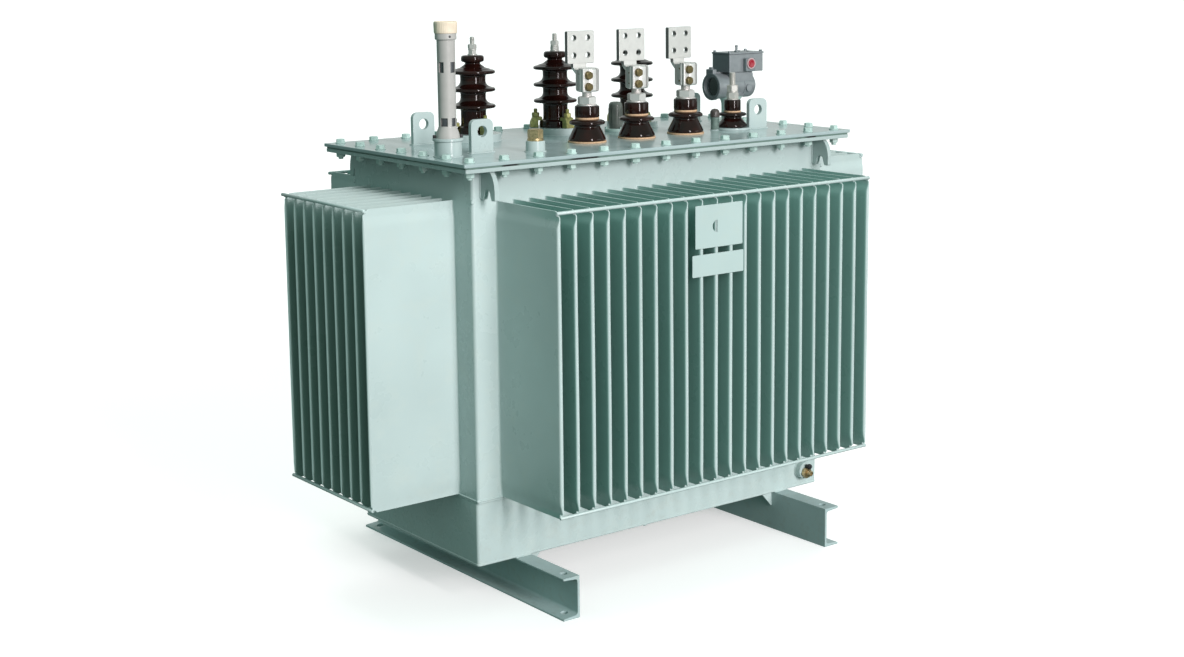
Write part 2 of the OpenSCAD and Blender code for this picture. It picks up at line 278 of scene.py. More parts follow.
def plate(outer, z0, z1, bev=1.0, holes=(), seg=2, hbev=None):
    """Flat plate with holes and rounded edges, drawn in X, Y."""
    outer = [tuple(p[:2]) for p in outer]
    if area2(outer) < 0:
        outer = outer[::-1]
    loops = [outer]
    for h in holes:
        h = [tuple(p[:2]) for p in h]
        loops.append(h[::-1] if area2(h) > 0 else h)
    st = []
    if bev > 0:
        for k in range(seg + 1):
            a = radians(90 * k / seg)
            st.append((1 - sin(a), 1 - cos(a)))
        rings = [(i, z0 + d * bev) for i, d in st] + [(i, z1 - d * bev) for i, d in reversed(st)]
    else:
        rings = [(0, z0), (0, z1)]
    V, F, base = [], [], []
    for li, lp in enumerate(loops):
        bb = bev if li == 0 or hbev is None else hbev
        ids = []
        for i, z in rings:
            q = inset(lp, i * bb)
            ids.append(list(range(len(V), len(V) + len(q))))
            V += [(x, y, z) for x, y in q]
        n = len(lp)
        for A, B in zip(ids, ids[1:]):
            for k in range(n):
                j = (k + 1) % n
                F.append((A[k], A[j], B[j], B[k]))
        base.append(ids)
    for side in (0, -1):
        flat = [i for ids in base for i in ids[side]]
        if len(loops) == 1:
            F.append(tuple(reversed(flat)) if side == 0 else tuple(flat))
        else:
            tri = tessellate_polygon([[Vector((V[i][0], V[i][1], 0)) for i in ids[side]] for ids in base])
            F += [tuple(flat[i] for i in (t if side else reversed(t))) for t in tri]
    return V, F


def circle(r, n=24, cx=0, cy=0, a0=0):
    return [(cx + r * cos(2 * pi * k / n + a0), cy + r * sin(2 * pi * k / n + a0)) for k in range(n)]


def block(x0, x1, y0, y1, z0, z1, b=1.0, r=None, n=2):
    """A box with rounded edges."""
    r = max(b, r if r is not None else b)
    cx, cy = (x0 + x1) / 2, (y0 + y1) / 2
    return plate(rrect((x1 - x0) / 2, (y1 - y0) / 2, r, max(2, n), cx, cy), z0, z1, b, seg=n)


def hexhead(af, h, ch=0.94, both=False):
    """Hexagon head or nut with turned chamfers."""
    rc = af / 2 * ch
    t30 = tan(radians(30))

    def rad(k):
        a = (k * 15) % 60 - 30
        return af / 2 / cos(radians(a))
    rings = []
    if both:
        rings.append([(rc * cos(radians(15 * k)), rc * sin(radians(15 * k)), 0) for k in range(24)])
        rings.append([(rad(k) * cos(radians(15 * k)), rad(k) * sin(radians(15 * k)), (rad(k) - rc) * t30) for k in range(24)])
    else:
        rings.append([(rad(k) * cos(radians(15 * k)), rad(k) * sin(radians(15 * k)), 0) for k in range(24)])
    rings.append([(rad(k) * cos(radians(15 * k)), rad(k) * sin(radians(15 * k)), h - (rad(k) - rc) * t30) for k in range(24)])
    rings.append([(rc * cos(radians(15 * k)), rc * sin(radians(15 * k)), h) for k in range(24)])
    return loft(rings)


def thread(d, z0, z1, p=1.75, seg=16):
    """A threaded stud with ringed threads and a chamfered end."""
    r, dep = d / 2, 0.5 * p
    prof = [(0, z0), (r - dep, z0)]
    z = z0 + 0.2 * p
    while z + p < z1 - 0.6:
        prof += [(r - dep, z), (r, z + 0.35 * p), (r, z + 0.55 * p), (r - dep, z + 0.9 * p)]
        z += p
    prof += [(r - dep * 0.5, z1 - 1.2), (r - dep - 0.8, z1), (0, z1)]
    return lathe(prof, seg)


def sweep(path, rad, seg=8, closed=False, ref=(0, 0, 1), flat=1.0, caps=True):
    """Tube along 3-D points; rad is a number or a list."""
    P = [Vector(p) for p in path]
    n = len(P)
    rr = rad if hasattr(rad, "__len__") else [rad] * n
    ref = Vector(ref)
    V, F = [], []
    for i in range(n):
        a = P[i - 1] if closed or i > 0 else P[i]
        b = P[(i + 1) % n] if closed or i < n - 1 else P[i]
        t = (b - a).normalized()
        s = t.cross(ref)
        if s.length < 1e-6:
            s = t.cross(Vector((1, 0, 0)))
        s.normalize()
        w = s.cross(t).normalized()
        for k in range(seg):
            q = 2 * pi * k / seg
            V.append(tuple(P[i] + (s * cos(q) + w * sin(q) * flat) * rr[i]))
    m = n if closed else n - 1
    for i in range(m):
        a, b = i * seg, ((i + 1) % n) * seg
        for k in range(seg):
            q = (k + 1) % seg
            F.append((a + k, a + q, b + q, b + k))
    if not closed and caps:
        F.append(tuple(range(seg - 1, -1, -1)))
        F.append(tuple((n - 1) * seg + k for k in range(seg)))
    return V, F


def resample(path, step, closed=False):
    P = [Vector(p) for p in path]
    if closed:
        P = P + [P[0]]
    out = []
    for a, b in zip(P, P[1:]):
        m = max(1, int(round((b - a).length / step)))
        out += [a + (b - a) * (k / m) for k in range(m)]
    if not closed:
        out.append(P[-1])
    return out


def bead(path, r=2.5, step=2.2, closed=False, seed=1, wave=6.0, amp=0.14, seg=7, flat=1.0, ref=(0, 0, 1)):
    """A weld bead with ripples."""
    rng = random.Random(seed)
    P = resample(path, step, closed)
    rad = []
    s = 0.0
    drift = 0.0
    for i, p in enumerate(P):
        if i:
            s += (P[i] - P[i - 1]).length
        drift = drift * 0.9 + rng.uniform(-0.04, 0.04)
        rad.append(r * (1 + amp * sin(2 * pi * s / wave) + drift))
    if not closed:
        rad[0] *= 0.5
        rad[-1] *= 0.5
    return sweep(P, rad, seg, closed, ref=ref, flat=flat)


def blob(r, sx=1, sy=1, sz=1, seg=10, rows=6):
    prof = [(r * sin(pi * k / rows), -r * cos(pi * k / rows)) for k in range(rows + 1)]
    prof[0], prof[-1] = (0, -r), (0, r)
    v, f = lathe(prof, seg)
    return [(x * sx, y * sy, z * sz) for x, y, z in v], f


def make(name, part, mat, replaces=(), sharp=32, wn=True, cut=None):
    """Turns a Part into a piece of the scene."""
    if isinstance(part, Part):
        V, F = part.out()
    else:
        V, F = part
    V = np.asarray(V, float) * 0.001
    me = bpy.data.meshes.new(name)
    me.from_pydata(V.tolist(), [], F)
    ob = bpy.data.objects.new(name, me)
    scene.collection.objects.link(ob)
    if cut is not None:
        cv, cf = cut.out()
        cm = bpy.data.meshes.new("cutter")
        cm.from_pydata((cv * 0.001).tolist(), [], cf)
        bmc = bmesh.new()
        bmc.from_mesh(cm)
        bmesh.ops.recalc_face_normals(bmc, faces=bmc.faces)
        bmc.to_mesh(cm)
        bmc.free()
        co = bpy.data.objects.new("cutter", cm)
        scene.collection.objects.link(co)
        bm0 = bmesh.new()
        bm0.from_mesh(me)
        bmesh.ops.recalc_face_normals(bm0, faces=bm0.faces)
        bm0.to_mesh(me)
        bm0.free()
        md = ob.modifiers.new("cut", "BOOLEAN")
        md.operation = "DIFFERENCE"
        md.solver = "EXACT"
        md.object = co
        bpy.context.view_layer.update()
        ev = ob.evaluated_get(bpy.context.evaluated_depsgraph_get())
        new = bpy.data.meshes.new_from_object(ev)
        ob.modifiers.clear()
        ob.data = new
        me = new
        bpy.data.objects.remove(co)
        bpy.data.meshes.remove(cm)
    bm = bmesh.new()
    bm.from_mesh(me)
    if cut is not None:
        bmesh.ops.dissolve_degenerate(bm, edges=bm.edges, dist=1e-6)
    bmesh.ops.recalc_face_normals(bm, faces=bm.faces)
    lim = radians(sharp)
    for f in bm.faces:
        f.smooth = True
        f.material_index = 0
    for e in bm.edges:
        e.smooth = len(e.link_faces) == 2 and e.calc_face_angle(0.0) <= lim
    bm.to_mesh(me)
    bm.free()
    me.materials.clear()
    me.materials.append(mat)
    if wn:
        md = ob.modifiers.new("even", "WEIGHTED_NORMAL")
        md.mode = "FACE_AREA"
        md.keep_sharp = True
        md.weight = 80
    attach(ob, "root")
    if replaces:
        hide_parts(*replaces)
    return ob


# ----------------------------------------------------------------------------
# materials
# ----------------------------------------------------------------------------
class Mat:
    """A node material; textures use object coordinates, which are metres in the object's frame."""

    def __init__(self, name):
        self.m = bpy.data.materials.new(name)
        self.m.use_nodes = True
        self.nt = self.m.node_tree
        self.nt.nodes.clear()
        self.out = self.nt.nodes.new("ShaderNodeOutputMaterial")
        self.b = self.nt.nodes.new("ShaderNodeBsdfPrincipled")
        self.nt.links.new(self.b.outputs[0], self.out.inputs[0])
        self.tc = self.nt.nodes.new("ShaderNodeTexCoord").outputs["Object"]

    def set(self, **kw):
        for k, v in kw.items():
            self.b.inputs[k.replace("_", " ")].default_value = v
        return self

    def link(self, a, socket):
        self.nt.links.new(a, self.b.inputs[socket])

    def noise(self, scale, detail=3.0, rough=0.55, dist=0.0, stretch=None, offset=(0, 0, 0)):
        co = self.tc
        if stretch or any(offset):
            mp = self.nt.nodes.new("ShaderNodeMapping")
            mp.inputs["Scale"].default_value = stretch or (1, 1, 1)
            mp.inputs["Location"].default_value = offset
            self.nt.links.new(co, mp.inputs["Vector"])
            co = mp.outputs[0]
        n = self.nt.nodes.new("ShaderNodeTexNoise")
        n.inputs["Scale"].default_value = scale
        n.inputs["Detail"].default_value = detail
        n.inputs["Roughness"].default_value = rough
        n.inputs["Distortion"].default_value = dist
        self.nt.links.new(co, n.inputs["Vector"])
        return n.outputs["Fac"]

    def facing(self, both=True):
        """How far the surface turns to -X, or to either end with both."""
        tc = self.nt.nodes.new("ShaderNodeTexCoord")
        sep = self.nt.nodes.new("ShaderNodeSeparateXYZ")
        self.nt.links.new(tc.outputs["Normal"], sep.inputs[0])
        return self.math("ABSOLUTE", sep.outputs[0]) if both else self.math("MULTIPLY", sep.outputs[0], -1.0)

    def ramp(self, fac, stops, mode="LINEAR"):
        r = self.nt.nodes.new("ShaderNodeValToRGB")
        r.color_ramp.interpolation = mode
        el = r.color_ramp.elements
        while len(el) < len(stops):
            el.new(0.5)
        for e, (p, c) in zip(el, stops):
            e.position = p
            e.color = (*c, 1) if hasattr(c, "__len__") else (c, c, c, 1)
        self.nt.links.new(fac, r.inputs[0])
        return r.outputs[0]

    def rng(self, fac, a, b, lo=0.3, hi=0.7):
        r = self.nt.nodes.new("ShaderNodeMapRange")
        r.inputs["From Min"].default_value = lo
        r.inputs["From Max"].default_value = hi
        r.inputs["To Min"].default_value = a
        r.inputs["To Max"].default_value = b
        self.nt.links.new(fac, r.inputs["Value"])
        return r.outputs[0]

    def math(self, op, a, b=0.0):
        n = self.nt.nodes.new("ShaderNodeMath")
        n.operation = op
        for i, v in enumerate((a, b)):
            if isinstance(v, (int, float)):
                n.inputs[i].default_value = v
            else:
                self.nt.links.new(v, n.inputs[i])
        return n.outputs[0]

    def mix(self, fac, a, b, mode="MIX"):
        n = self.nt.nodes.new("ShaderNodeMix")
        n.data_type = "RGBA"
        n.blend_type = mode
        for i, v in ((0, fac), (6, a), (7, b)):
            if isinstance(v, (int, float)):
                n.inputs[i].default_value = v
            elif isinstance(v, tuple):
                n.inputs[i].default_value = (*v, 1)
            else:
                self.nt.links.new(v, n.inputs[i])
        return n.outputs[2]

    def z(self):
        s = self.nt.nodes.new("ShaderNodeSeparateXYZ")
        self.nt.links.new(self.tc, s.inputs[0])
        return s.outputs[2]

    def bump(self, h, strength, dist, normal=None):
        n = self.nt.nodes.new("ShaderNodeBump")
        n.inputs["Strength"].default_value = strength
        n.inputs["Distance"].default_value = dist
        self.nt.links.new(h, n.inputs["Height"])
        if normal is not None:
            self.nt.links.new(normal, n.inputs["Normal"])
        return n.outputs[0]


def paint_mat(name, col, rough=0.26, dirt=0.25, peel=0.05, wave=0.25, seed=0.0, overhang_shade=None, fin_painted_light=False):
    """Sprayed enamel: faint cloudiness, orange peel, a little sheet waviness, dust low down; optionally painted shade
    under the cover overhang and painted light and shade on the fins.
    """
    m = Mat(name)
    big = m.noise(2.6, 3, 0.5, offset=(seed, 0, 0))
    mid = m.noise(24, 4, 0.6, offset=(seed, 3, 0))
    fine = m.noise(420, 2, 0.5)
    lo = tuple(c * 0.90 for c in col)
    hi = tuple(min(1, c * 1.07) for c in col)
    base = m.ramp(big, [(0.30, lo), (0.70, hi)])
    warm = tuple(min(1, c * k) for c, k in zip(col, (1.10, 1.02, 0.96)))
    base = m.mix(m.rng(mid, 0.0, 0.30, 0.50, 0.75), base, warm)
    # dust and splashes near the floor
    low = m.rng(m.z(), 1.0, 0.0, 0.0, 0.42)
    spots = m.rng(m.noise(60, 5, 0.7, offset=(0, seed, 2)), 0.0, 1.0, 0.52, 0.70)
    dust = m.math("MULTIPLY", m.math("MULTIPLY", low, spots), dirt)
    base = m.mix(dust, base, (0.30, 0.30, 0.25))
    if overhang_shade:
        # painted shade: the band under the cover overhang is darkened, as if in the overhang's shadow
        base = m.mix(m.rng(m.z(), 0.0, 1.0, overhang_shade[0], overhang_shade[1]), base, tuple(c * overhang_shade[2] for c in col))
    if fin_painted_light:
        # painted shade: fin flanks between the fins are darker and greener; painted highlight: the end fins' noses are
        # paler
        tc = m.nt.nodes.new("ShaderNodeTexCoord")
        sn = m.nt.nodes.new("ShaderNodeSeparateXYZ")
        sc = m.nt.nodes.new("ShaderNodeSeparateXYZ")
        m.nt.links.new(tc.outputs["Normal"], sn.inputs[0])
        m.nt.links.new(m.tc, sc.inputs[0])
        nx, ny = m.math("ABSOLUTE", sn.outputs[0]), m.math("ABSOLUTE", sn.outputs[1])
        ax, ay = m.math("ABSOLUTE", sc.outputs[0]), m.math("ABSOLUTE", sc.outputs[1])
        a = m.math("MULTIPLY", m.rng(nx, 0.0, 1.0, 0.75, 0.95), m.rng(ax, 1.0, 0.0, 0.4720, 0.4735))
        a = m.math("MULTIPLY", a, m.rng(ay, 0.0, 1.0, 0.258, 0.275))
        b = m.math("MULTIPLY", m.rng(ny, 0.0, 1.0, 0.75, 0.95), m.rng(ay, 1.0, 0.0, 0.1795, 0.1805))
        b = m.math("MULTIPLY", b, m.rng(ax, 0.0, 1.0, 0.54, 0.56))
        b = m.math("MULTIPLY", b, m.rng(m.z(), 1.0, 0.25, 0.85, 0.94))
        c = m.math("MULTIPLY", m.rng(nx, 0.0, 0.8, 0.45, 0.9), m.rng(ax, 0.0, 1.0, 0.766, 0.770))
        # painted shade on the flanks of the front and rear fins
        base = m.mix(a, base, (0.285, 0.485, 0.44))
        # painted shade on the flanks of the end fins, fading out towards their tops
        base = m.mix(b, base, (0.31, 0.405, 0.37))
        # painted highlight on the end fins' noses
        base = m.mix(c, base, (0.64, 0.77, 0.745))
        # painted light: tops of the end fins are paler, as if lit from above
        d = m.math("MULTIPLY", m.rng(sn.outputs[2], 0.0, 1.0, 0.6, 0.9), m.rng(ax, 0.0, 1.0, 0.54, 0.56))
        d = m.math("MULTIPLY", d, m.rng(m.z(), 0.0, 1.0, 0.90, 0.93))
        base = m.mix(d, base, (0.60, 0.72, 0.695))
    m.link(base, "Base Color")
    rg = m.rng(m.noise(9, 4, 0.6, offset=(2, seed, 1)), rough * 0.78, rough * 1.35, 0.32, 0.68)
    rg = m.math("ADD", rg, m.math("MULTIPLY", dust, 0.5))
    m.link(rg, "Roughness")
    n1 = m.bump(m.noise(7.5, 2, 0.4, offset=(seed, 1, 5)), wave, 0.004)
    n2 = m.bump(fine, peel, 0.0008, n1)
    m.link(n2, "Normal")
    m.set(IOR=1.5)
    return m.m


def metal_mat(name, col, rough=0.35, metallic=1.0, var=0.12, scale=60, bumps=0.12, stain=None, edge=None):
    m = Mat(name)
    a = m.noise(scale, 4, 0.6)
    b = m.noise(scale * 6, 3, 0.6)
    lo = tuple(c * (1 - var) for c in col)
    hi = tuple(min(1, c * (1 + var)) for c in col)
    base = m.ramp(a, [(0.3, lo), (0.7, hi)])
    if stain:
        base = m.mix(m.rng(m.noise(scale * 1.7, 4, 0.7, offset=(4, 1, 0)), 0.0, 0.75, 0.48, 0.68), base, stain)
    if edge:
        # painted shade, partly the dull bare metal of sheared edges and hole walls: faces turned to +X or -X darken,
        # fully on the palms and about a third as much below them
        cut = m.math("MULTIPLY", m.rng(m.facing(), 0.0, 1.0, 0.70, 0.92), m.rng(m.z(), 0.35, 1.0, 1.215, 1.235))
        base = m.mix(cut, base, edge)
    m.link(base, "Base Color")
    m.link(m.rng(b, rough * 0.75, rough * 1.35), "Roughness")
    m.link(m.bump(b, bumps, 0.0006), "Normal")
    m.set(Metallic=metallic)
    return m.m


def plain_mat(name, col, rough=0.45, var=0.08, scale=40, bumps=0.1, bscale=500, spec=0.5, coat=0.0, coat_rough=0.05, metallic=0.0, painted_side_shade=None):
    m = Mat(name)
    a = m.noise(scale, 4, 0.6)
    base = m.ramp(a, [(0.3, tuple(c * (1 - var) for c in col)), (0.7, tuple(min(1, c * (1 + var)) for c in col))])
    # painted shade: faces turned towards -X darken towards this colour
    if painted_side_shade:
        base = m.mix(m.rng(m.facing(False), 0.0, 1.0, 0.55, 0.92), base, painted_side_shade)
    m.link(base, "Base Color")
    m.link(m.rng(m.noise(scale * 3, 3, 0.6, offset=(1, 2, 3)), rough * 0.8, rough * 1.25), "Roughness")
    m.link(m.bump(m.noise(bscale, 2, 0.5), bumps, 0.0006), "Normal")
    m.b.inputs["Specular IOR Level"].default_value = spec
    m.set(Metallic=metallic)
    if coat:
        m.b.inputs["Coat Weight"].default_value = coat
        m.b.inputs["Coat Roughness"].default_value = coat_rough
    return m.m


PAINT = (0.437, 0.545, 0.53)
# the tank paint carries painted shade in the band under the cover overhang
M_PAINT = paint_mat("paint_tank", PAINT, overhang_shade=(0.945, 0.985, 0.80))
# the fin paint carries painted shade between the fins and painted light on the end fins' noses and tops
M_FIN = paint_mat("paint_fins", PAINT, rough=0.30, wave=0.20, seed=2.3, fin_painted_light=True)
M_SKID = paint_mat("paint_skids", (0.345, 0.455, 0.45), rough=0.36, wave=0.2, dirt=0.35, seed=4.4)
M_TOP = paint_mat("paint_cover", (0.318, 0.412, 0.412), rough=0.17, wave=0.35, dirt=0.0, seed=5.1)
M_LUG = paint_mat("paint_lugs", (0.385, 0.475, 0.465), rough=0.22, wave=0.15, dirt=0.0, seed=6.3)
M_PLATE = paint_mat("paint_plates", (0.38, 0.492, 0.475), rough=0.38, wave=0.1, dirt=0.0, seed=7.7)
M_FITT = paint_mat("paint_fittings", (0.42, 0.57, 0.53), rough=0.30, wave=0.05, dirt=0.0, seed=9.2)


def porcelain():
    m = Mat("glazed_porcelain")
    a = m.noise(18, 4, 0.6)
    b = m.noise(95, 3, 0.6)
    base = m.ramp(a, [(0.30, (0.0065, 0.0026, 0.0020)), (0.55, (0.0125, 0.0036, 0.0026)), (0.75, (0.024, 0.0052, 0.0034))])
    base = m.mix(m.rng(b, 0.0, 0.45, 0.58, 0.78), base, (0.040, 0.0075, 0.0045))
    m.link(base, "Base Color")
    m.link(m.rng(m.noise(30, 3, 0.5, offset=(3, 0, 0)), 0.06, 0.16), "Roughness")
    n1 = m.bump(m.noise(45, 2, 0.5), 0.18, 0.0012)
    m.link(m.bump(m.noise(900, 2, 0.5), 0.03, 0.0004, n1), "Normal")
    m.set(IOR=1.56)
    m.b.inputs["Specular IOR Level"].default_value = 0.26
    m.b.inputs["Coat Weight"].default_value = 0.22
    m.b.inputs["Coat Roughness"].default_value = 0.03
    return m.m


M_GLAZE = porcelain()
M_TAN = plain_mat("seal_cork_rubber", (0.54, 0.365, 0.225), rough=0.75, var=0.18, scale=220, bumps=0.35, bscale=900)
M_TIN = metal_mat("tinned_metal", (0.62, 0.63, 0.60), rough=0.38, metallic=0.45, var=0.06, scale=70, bumps=0.25)
M_TINF = metal_mat("tinned_casting", (0.82, 0.795, 0.775), rough=0.42, metallic=0.74, var=0.05, scale=45, bumps=0.35, edge=(0.20, 0.19, 0.19))
M_NEUT = metal_mat("neutral_terminal", (0.60, 0.585, 0.55), rough=0.42, metallic=0.55, var=0.08, scale=70, bumps=0.25)
M_STUD = metal_mat("plated_steel", (0.58, 0.58, 0.55), rough=0.36, metallic=0.5, var=0.12, scale=120, bumps=0.15)
M_ZINC = metal_mat("yellow_zinc", (0.42, 0.41, 0.16), rough=0.40, metallic=0.7, var=0.30, scale=90, bumps=0.2, stain=(0.22, 0.17, 0.08))
M_GREY = plain_mat("gauge_moulding", (0.385, 0.385, 0.365), rough=0.42, var=0.05, scale=25, bumps=0.12, bscale=700)
M_CREAM = plain_mat("cap_moulding", (0.70, 0.61, 0.475), rough=0.45, var=0.10, scale=35, bumps=0.2, bscale=500)
# the relay casting's -X side carries painted shade
M_CAST = plain_mat("relay_casting", (0.285, 0.31, 0.325), metallic=0.55, painted_side_shade=(0.15, 0.172, 0.185), rough=0.42, var=0.10, scale=30, bumps=0.35, bscale=420)
M_CASTD = plain_mat("relay_casting_boss", (0.15, 0.18, 0.19), rough=0.42, var=0.10, scale=30, bumps=0.3, bscale=420)
M_RING = plain_mat("button_ring", (0.46, 0.33, 0.34), rough=0.35, var=0.10, scale=50, bumps=0.1)
M_BRASS = metal_mat("worn_brass", (0.60, 0.45, 0.25), rough=0.38, metallic=0.9, var=0.18, scale=110, bumps=0.2, stain=(0.26, 0.20, 0.11))
M_BOLTB = metal_mat("brass_bolt", (0.20, 0.155, 0.07), rough=0.42, metallic=0.75, var=0.25, scale=160, bumps=0.2, stain=(0.07, 0.06, 0.04))
M_BLACK = plain_mat("black_moulding", (0.022, 0.022, 0.024), rough=0.38, var=0.2, scale=60, bumps=0.15, bscale=600)
M_RED = plain_mat("red_button", (0.30, 0.006, 0.022), rough=0.22, var=0.10, scale=60, bumps=0.05, coat=0.5)
M_DARK = plain_mat("dark_glass", (0.012, 0.016, 0.018), rough=0.06, var=0.2, scale=30, bumps=0.02, coat=1.0, coat_rough=0.02)
M_SMOKE = plain_mat("window_glass", (0.055, 0.060, 0.066), rough=0.10, var=0.35, scale=60, bumps=0.03, coat=1.0, coat_rough=0.03)
M_CAPG = plain_mat("tap_cap_moulding", (0.085, 0.100, 0.088), rough=0.36, var=0.35, scale=40, bumps=0.2, bscale=400, coat=0.5, coat_rough=0.12)
M_VBODY = plain_mat("vent_body", (0.115, 0.165, 0.145), rough=0.45, var=0.25, scale=80, bumps=0.2)
M_VCAP = plain_mat("vent_cap_moulding", (0.060, 0.050, 0.046), rough=0.30, var=0.3, scale=60, bumps=0.15, bscale=600, coat=0.4, coat_rough=0.1)
M_CORE = plain_mat("core_block", (0.20, 0.17, 0.13), rough=0.8, var=0.2, scale=12)


def gasket_mat():
    """Black sealing strip, painted over except where it bulges."""
    m = Mat("painted_gasket")
    f = m.noise(4.2, 3, 0.6, offset=(0.4, 0, 0))
    mask = m.rng(f, 0.0, 1.0, 0.535, 0.56)
    m.link(m.mix(mask, (0.12, 0.19, 0.165), (0.012, 0.013, 0.013)), "Base Color")
    m.link(m.rng(m.noise(80, 3, 0.6), 0.45, 0.75), "Roughness")
    m.link(m.bump(m.noise(260, 3, 0.6), 0.4, 0.0008), "Normal")
    return m.m


M_GASKET = gasket_mat()

# ----------------------------------------------------------------------------
# base
# ----------------------------------------------------------------------------
WEB = 389.0


def skid(sgn, name, node):
    """Rolled channel, 100 x 46, flanges outwards."""
    prof = fillet([(WEB, 0), (WEB, 100), (WEB + 46, 100), (WEB + 46, 95.2, 2.5), (WEB + 6, 92.2, 7),
                   (WEB + 6, 7.8, 7), (WEB + 46, 4.8, 2.5), (WEB + 46, 0)], n=4, closed=True)
    prof = [(sgn * x, z) for x, z in prof]
    p = Part()
    v, f = plate(prof, -443, 443, 0.7, seg=1)
    # plate is drawn in X, Y: stand it up so that its thickness runs along Y
    p.add((v, f), axes((1, 0, 0), (0, 0, 1), (0, -1, 0)))
    c = Part()
    for y in (-410, 410):
        c.add(lathe([(9, -3), (9, 12)], 40), T(sgn * 410, y, 0))
        c.add(lathe([(9, 86), (9, 104)], 40), T(sgn * 410, y, 0))
    return make(name, p, M_SKID, (node,), sharp=30, cut=c)


skid(-1, "skid_channel_left", "skid_left")
skid(1, "skid_channel_right", "skid_right")

p = Part()
for sx in (-1, 1):
    for sy in (-1, 1):
        out = [(0, 0), (-35, 0), (-33, -3), (-2.5, -37), (0, -37)]
        v, f = plate(out, -3, 3, 0.6, seg=1)
        M = axes((sx, 0, 0), (0, 0, 1), (0, -sx, 0), (sx * WEB, sy * -242, SKID_H))
        p.add((v, f), M)
        p.add(bead([(sx * WEB, sy * -242 + 3.5, 66), (sx * WEB, sy * -242 + 3.5, 99)], 2.0, seed=3), None)
make("skid_gusset_plates", p, M_PAINT, ("skid_gussets",))

# pan: bottom plate, body, lip, hollow inside
px, py = 539.0, 255.0
p = Part()
st = [(px - 6, py - 6, 4, 100), (px - 1.2, py - 1.2, 7, 100.4), (px + 0.3, py + 0.3, 8, 102), (px + 0.3, py + 0.3, 8, 105),
      (px - 0.8, py - 0.8, 7.5, 106.6), (px - 0.4, py - 0.4, 7.5, 110), (px, py, 7.5, 150), (px, py, 7.5, 238), (px, py, 7.5, 250),
      (px + 0.2, py + 0.6, 7.5, 251.2), (HL - 0.8, HW - 0.8, 7, 251.8), (HL, HW, 7, 252.8), (HL, HW, 7, 257.2), (HL - 0.6, HW - 0.6, 7, 258),
      (px - 6, py - 6, 3, 258), (px - 6, py - 6, 3, 106)]
p.add(shell(st, n=5))
make("base_pan_body", p, M_PAINT, ("base_pan",))

# weld seams between pan and walls, pan and skids
p = Part()
ring = [(x, y, 258.6) for x, y in rrect(HL + 0.2, HW + 0.2, 7, 6)]
p.add(bead(ring, 2.3, 2.6, True, seed=5, wave=7))
ring = [(x, y, WALL_TOP - 0.5) for x, y in rrect(HL + 0.8, HW + 0.8, 7, 6)]
p.add(bead(ring, 2.6, 3.0, True, seed=6, wave=7))
for sx in (-1, 1):
    p.add(bead([(sx * (WEB + 45.5), -py + 6, 100.3), (sx * (WEB + 45.5), py - 6, 100.3)], 1.8, 3.2, seed=8 + sx))
    p.add(bead([(sx * (WEB - 0.3), -py + 6, 99.8), (sx * (WEB - 0.3), py - 6, 99.8)], 1.8, 3.2, seed=12 + sx))
    for sy in (-1, 1):
        p.add(bead([(sx * (WEB + 2), sy * (py - 0.2), 100.2), (sx * (WEB + 44), sy * (py - 0.2), 100.2)], 1.8, 2.4, seed=15 + sx + 3 * sy))
        # blobs where the corner folds are welded off
        p.add(blob(4.4, 1, 1, 1.25), T(sx * (HL - 1.5), sy * (HW - 1.5), FZ1 + 2))
        p.add(blob(4.6, 1, 1, 0.9), T(sx * (HL - 1.2), sy * (HW - 1.2), PAN_TOP + 1))
p.add(blob(5.0, 1.3, 0.9, 0.8), T(-44, -py + 4, 101))
make("weld_seams", p, M_PAINT, sharp=60, wn=False)

# drain valve: boss, brass body with a short spout, and a small knob above it
p = Part()
M = axes((1, 0, 0), (0, 0, 1), (0, -1, 0), (484, -py, 146))
p.add(lathe([(0, -1), (25, -1), (24.2, 1.5), (23, 2.2), (23, 18.6), (22, 20), (0, 20)], 40), M)
p.add(bead([(23.5 * cos(a), 23.5 * sin(a), 0.8) for a in [2 * pi * k / 40 for k in range(40)]], 1.8, 3.0, True, seed=4, wave=6, ref=(0, 0, 1)), M)
make("drain_boss", p, M_PAINT, ("drain_valve",))
p = Part()
p.add(lathe(fillet([(0, 19), (11, 19), (11, 22, 0.5), (0, 22)], 0.3, 2), 28), M @ T(-4, -4, 0))
p.add(hexhead(26, 9.5, both=True), M @ T(-4, -4, 21.5) @ R(8, "Z"))
p.add(lathe(fillet([(0, 30), (8.4, 30), (8.4, 36, 0.8), (7.2, 36.6), (7.2, 41.4, 0.8), (4.6, 42), (4.4, 39), (0, 38.6)], 0.3, 2), 28), M @ T(-2, -4, 0))
make("drain_fitting", p, M_BRASS)
p = Part()
p.add(lathe(fillet([(0, 22), (4.6, 22), (4.6, 28, 0.6), (6.4, 28.6, 0.8), (6.4, 37, 1.6), (0, 38)], 0.4, 3), 26), M @ T(-1, 13, 0))
for k in range(10):
    p.add(block(-0.9, 0.9, -0.8, 0.8, 29.4, 36.4, 0.4), M @ T(-1, 13, 0) @ R(36 * k, "Z") @ T(6.2, 0, 0))
make("drain_knob", p, M_BLACK)

# ----------------------------------------------------------------------------
# tank walls
# ----------------------------------------------------------------------------
p = Part()
st = [(HL, HW, 8, PAN_TOP), (HL, HW, 8, WALL_TOP), (HL - 4, HW - 4, 4, WALL_TOP), (HL - 4, HW - 4, 4, PAN_TOP)]
rings = [[(x, y, z) for x, y in rrect(hx, hy, r, 6)] for hx, hy, r, z in st]
v, f = loft(rings + [rings[0]], caps=False)
n = len(rings[0])
v = v[:4 * n]
f = [tuple(i % (4 * n) for i in q) for q in f]
p.add((v, f))
make("tank_shell", p, M_PAINT, ("front_wall", "rear_wall", "left_wall", "right_wall"))


def smooth01(t):
    t = max(0.0, min(1.0, t))
    return t * t * (3 - 2 * t)


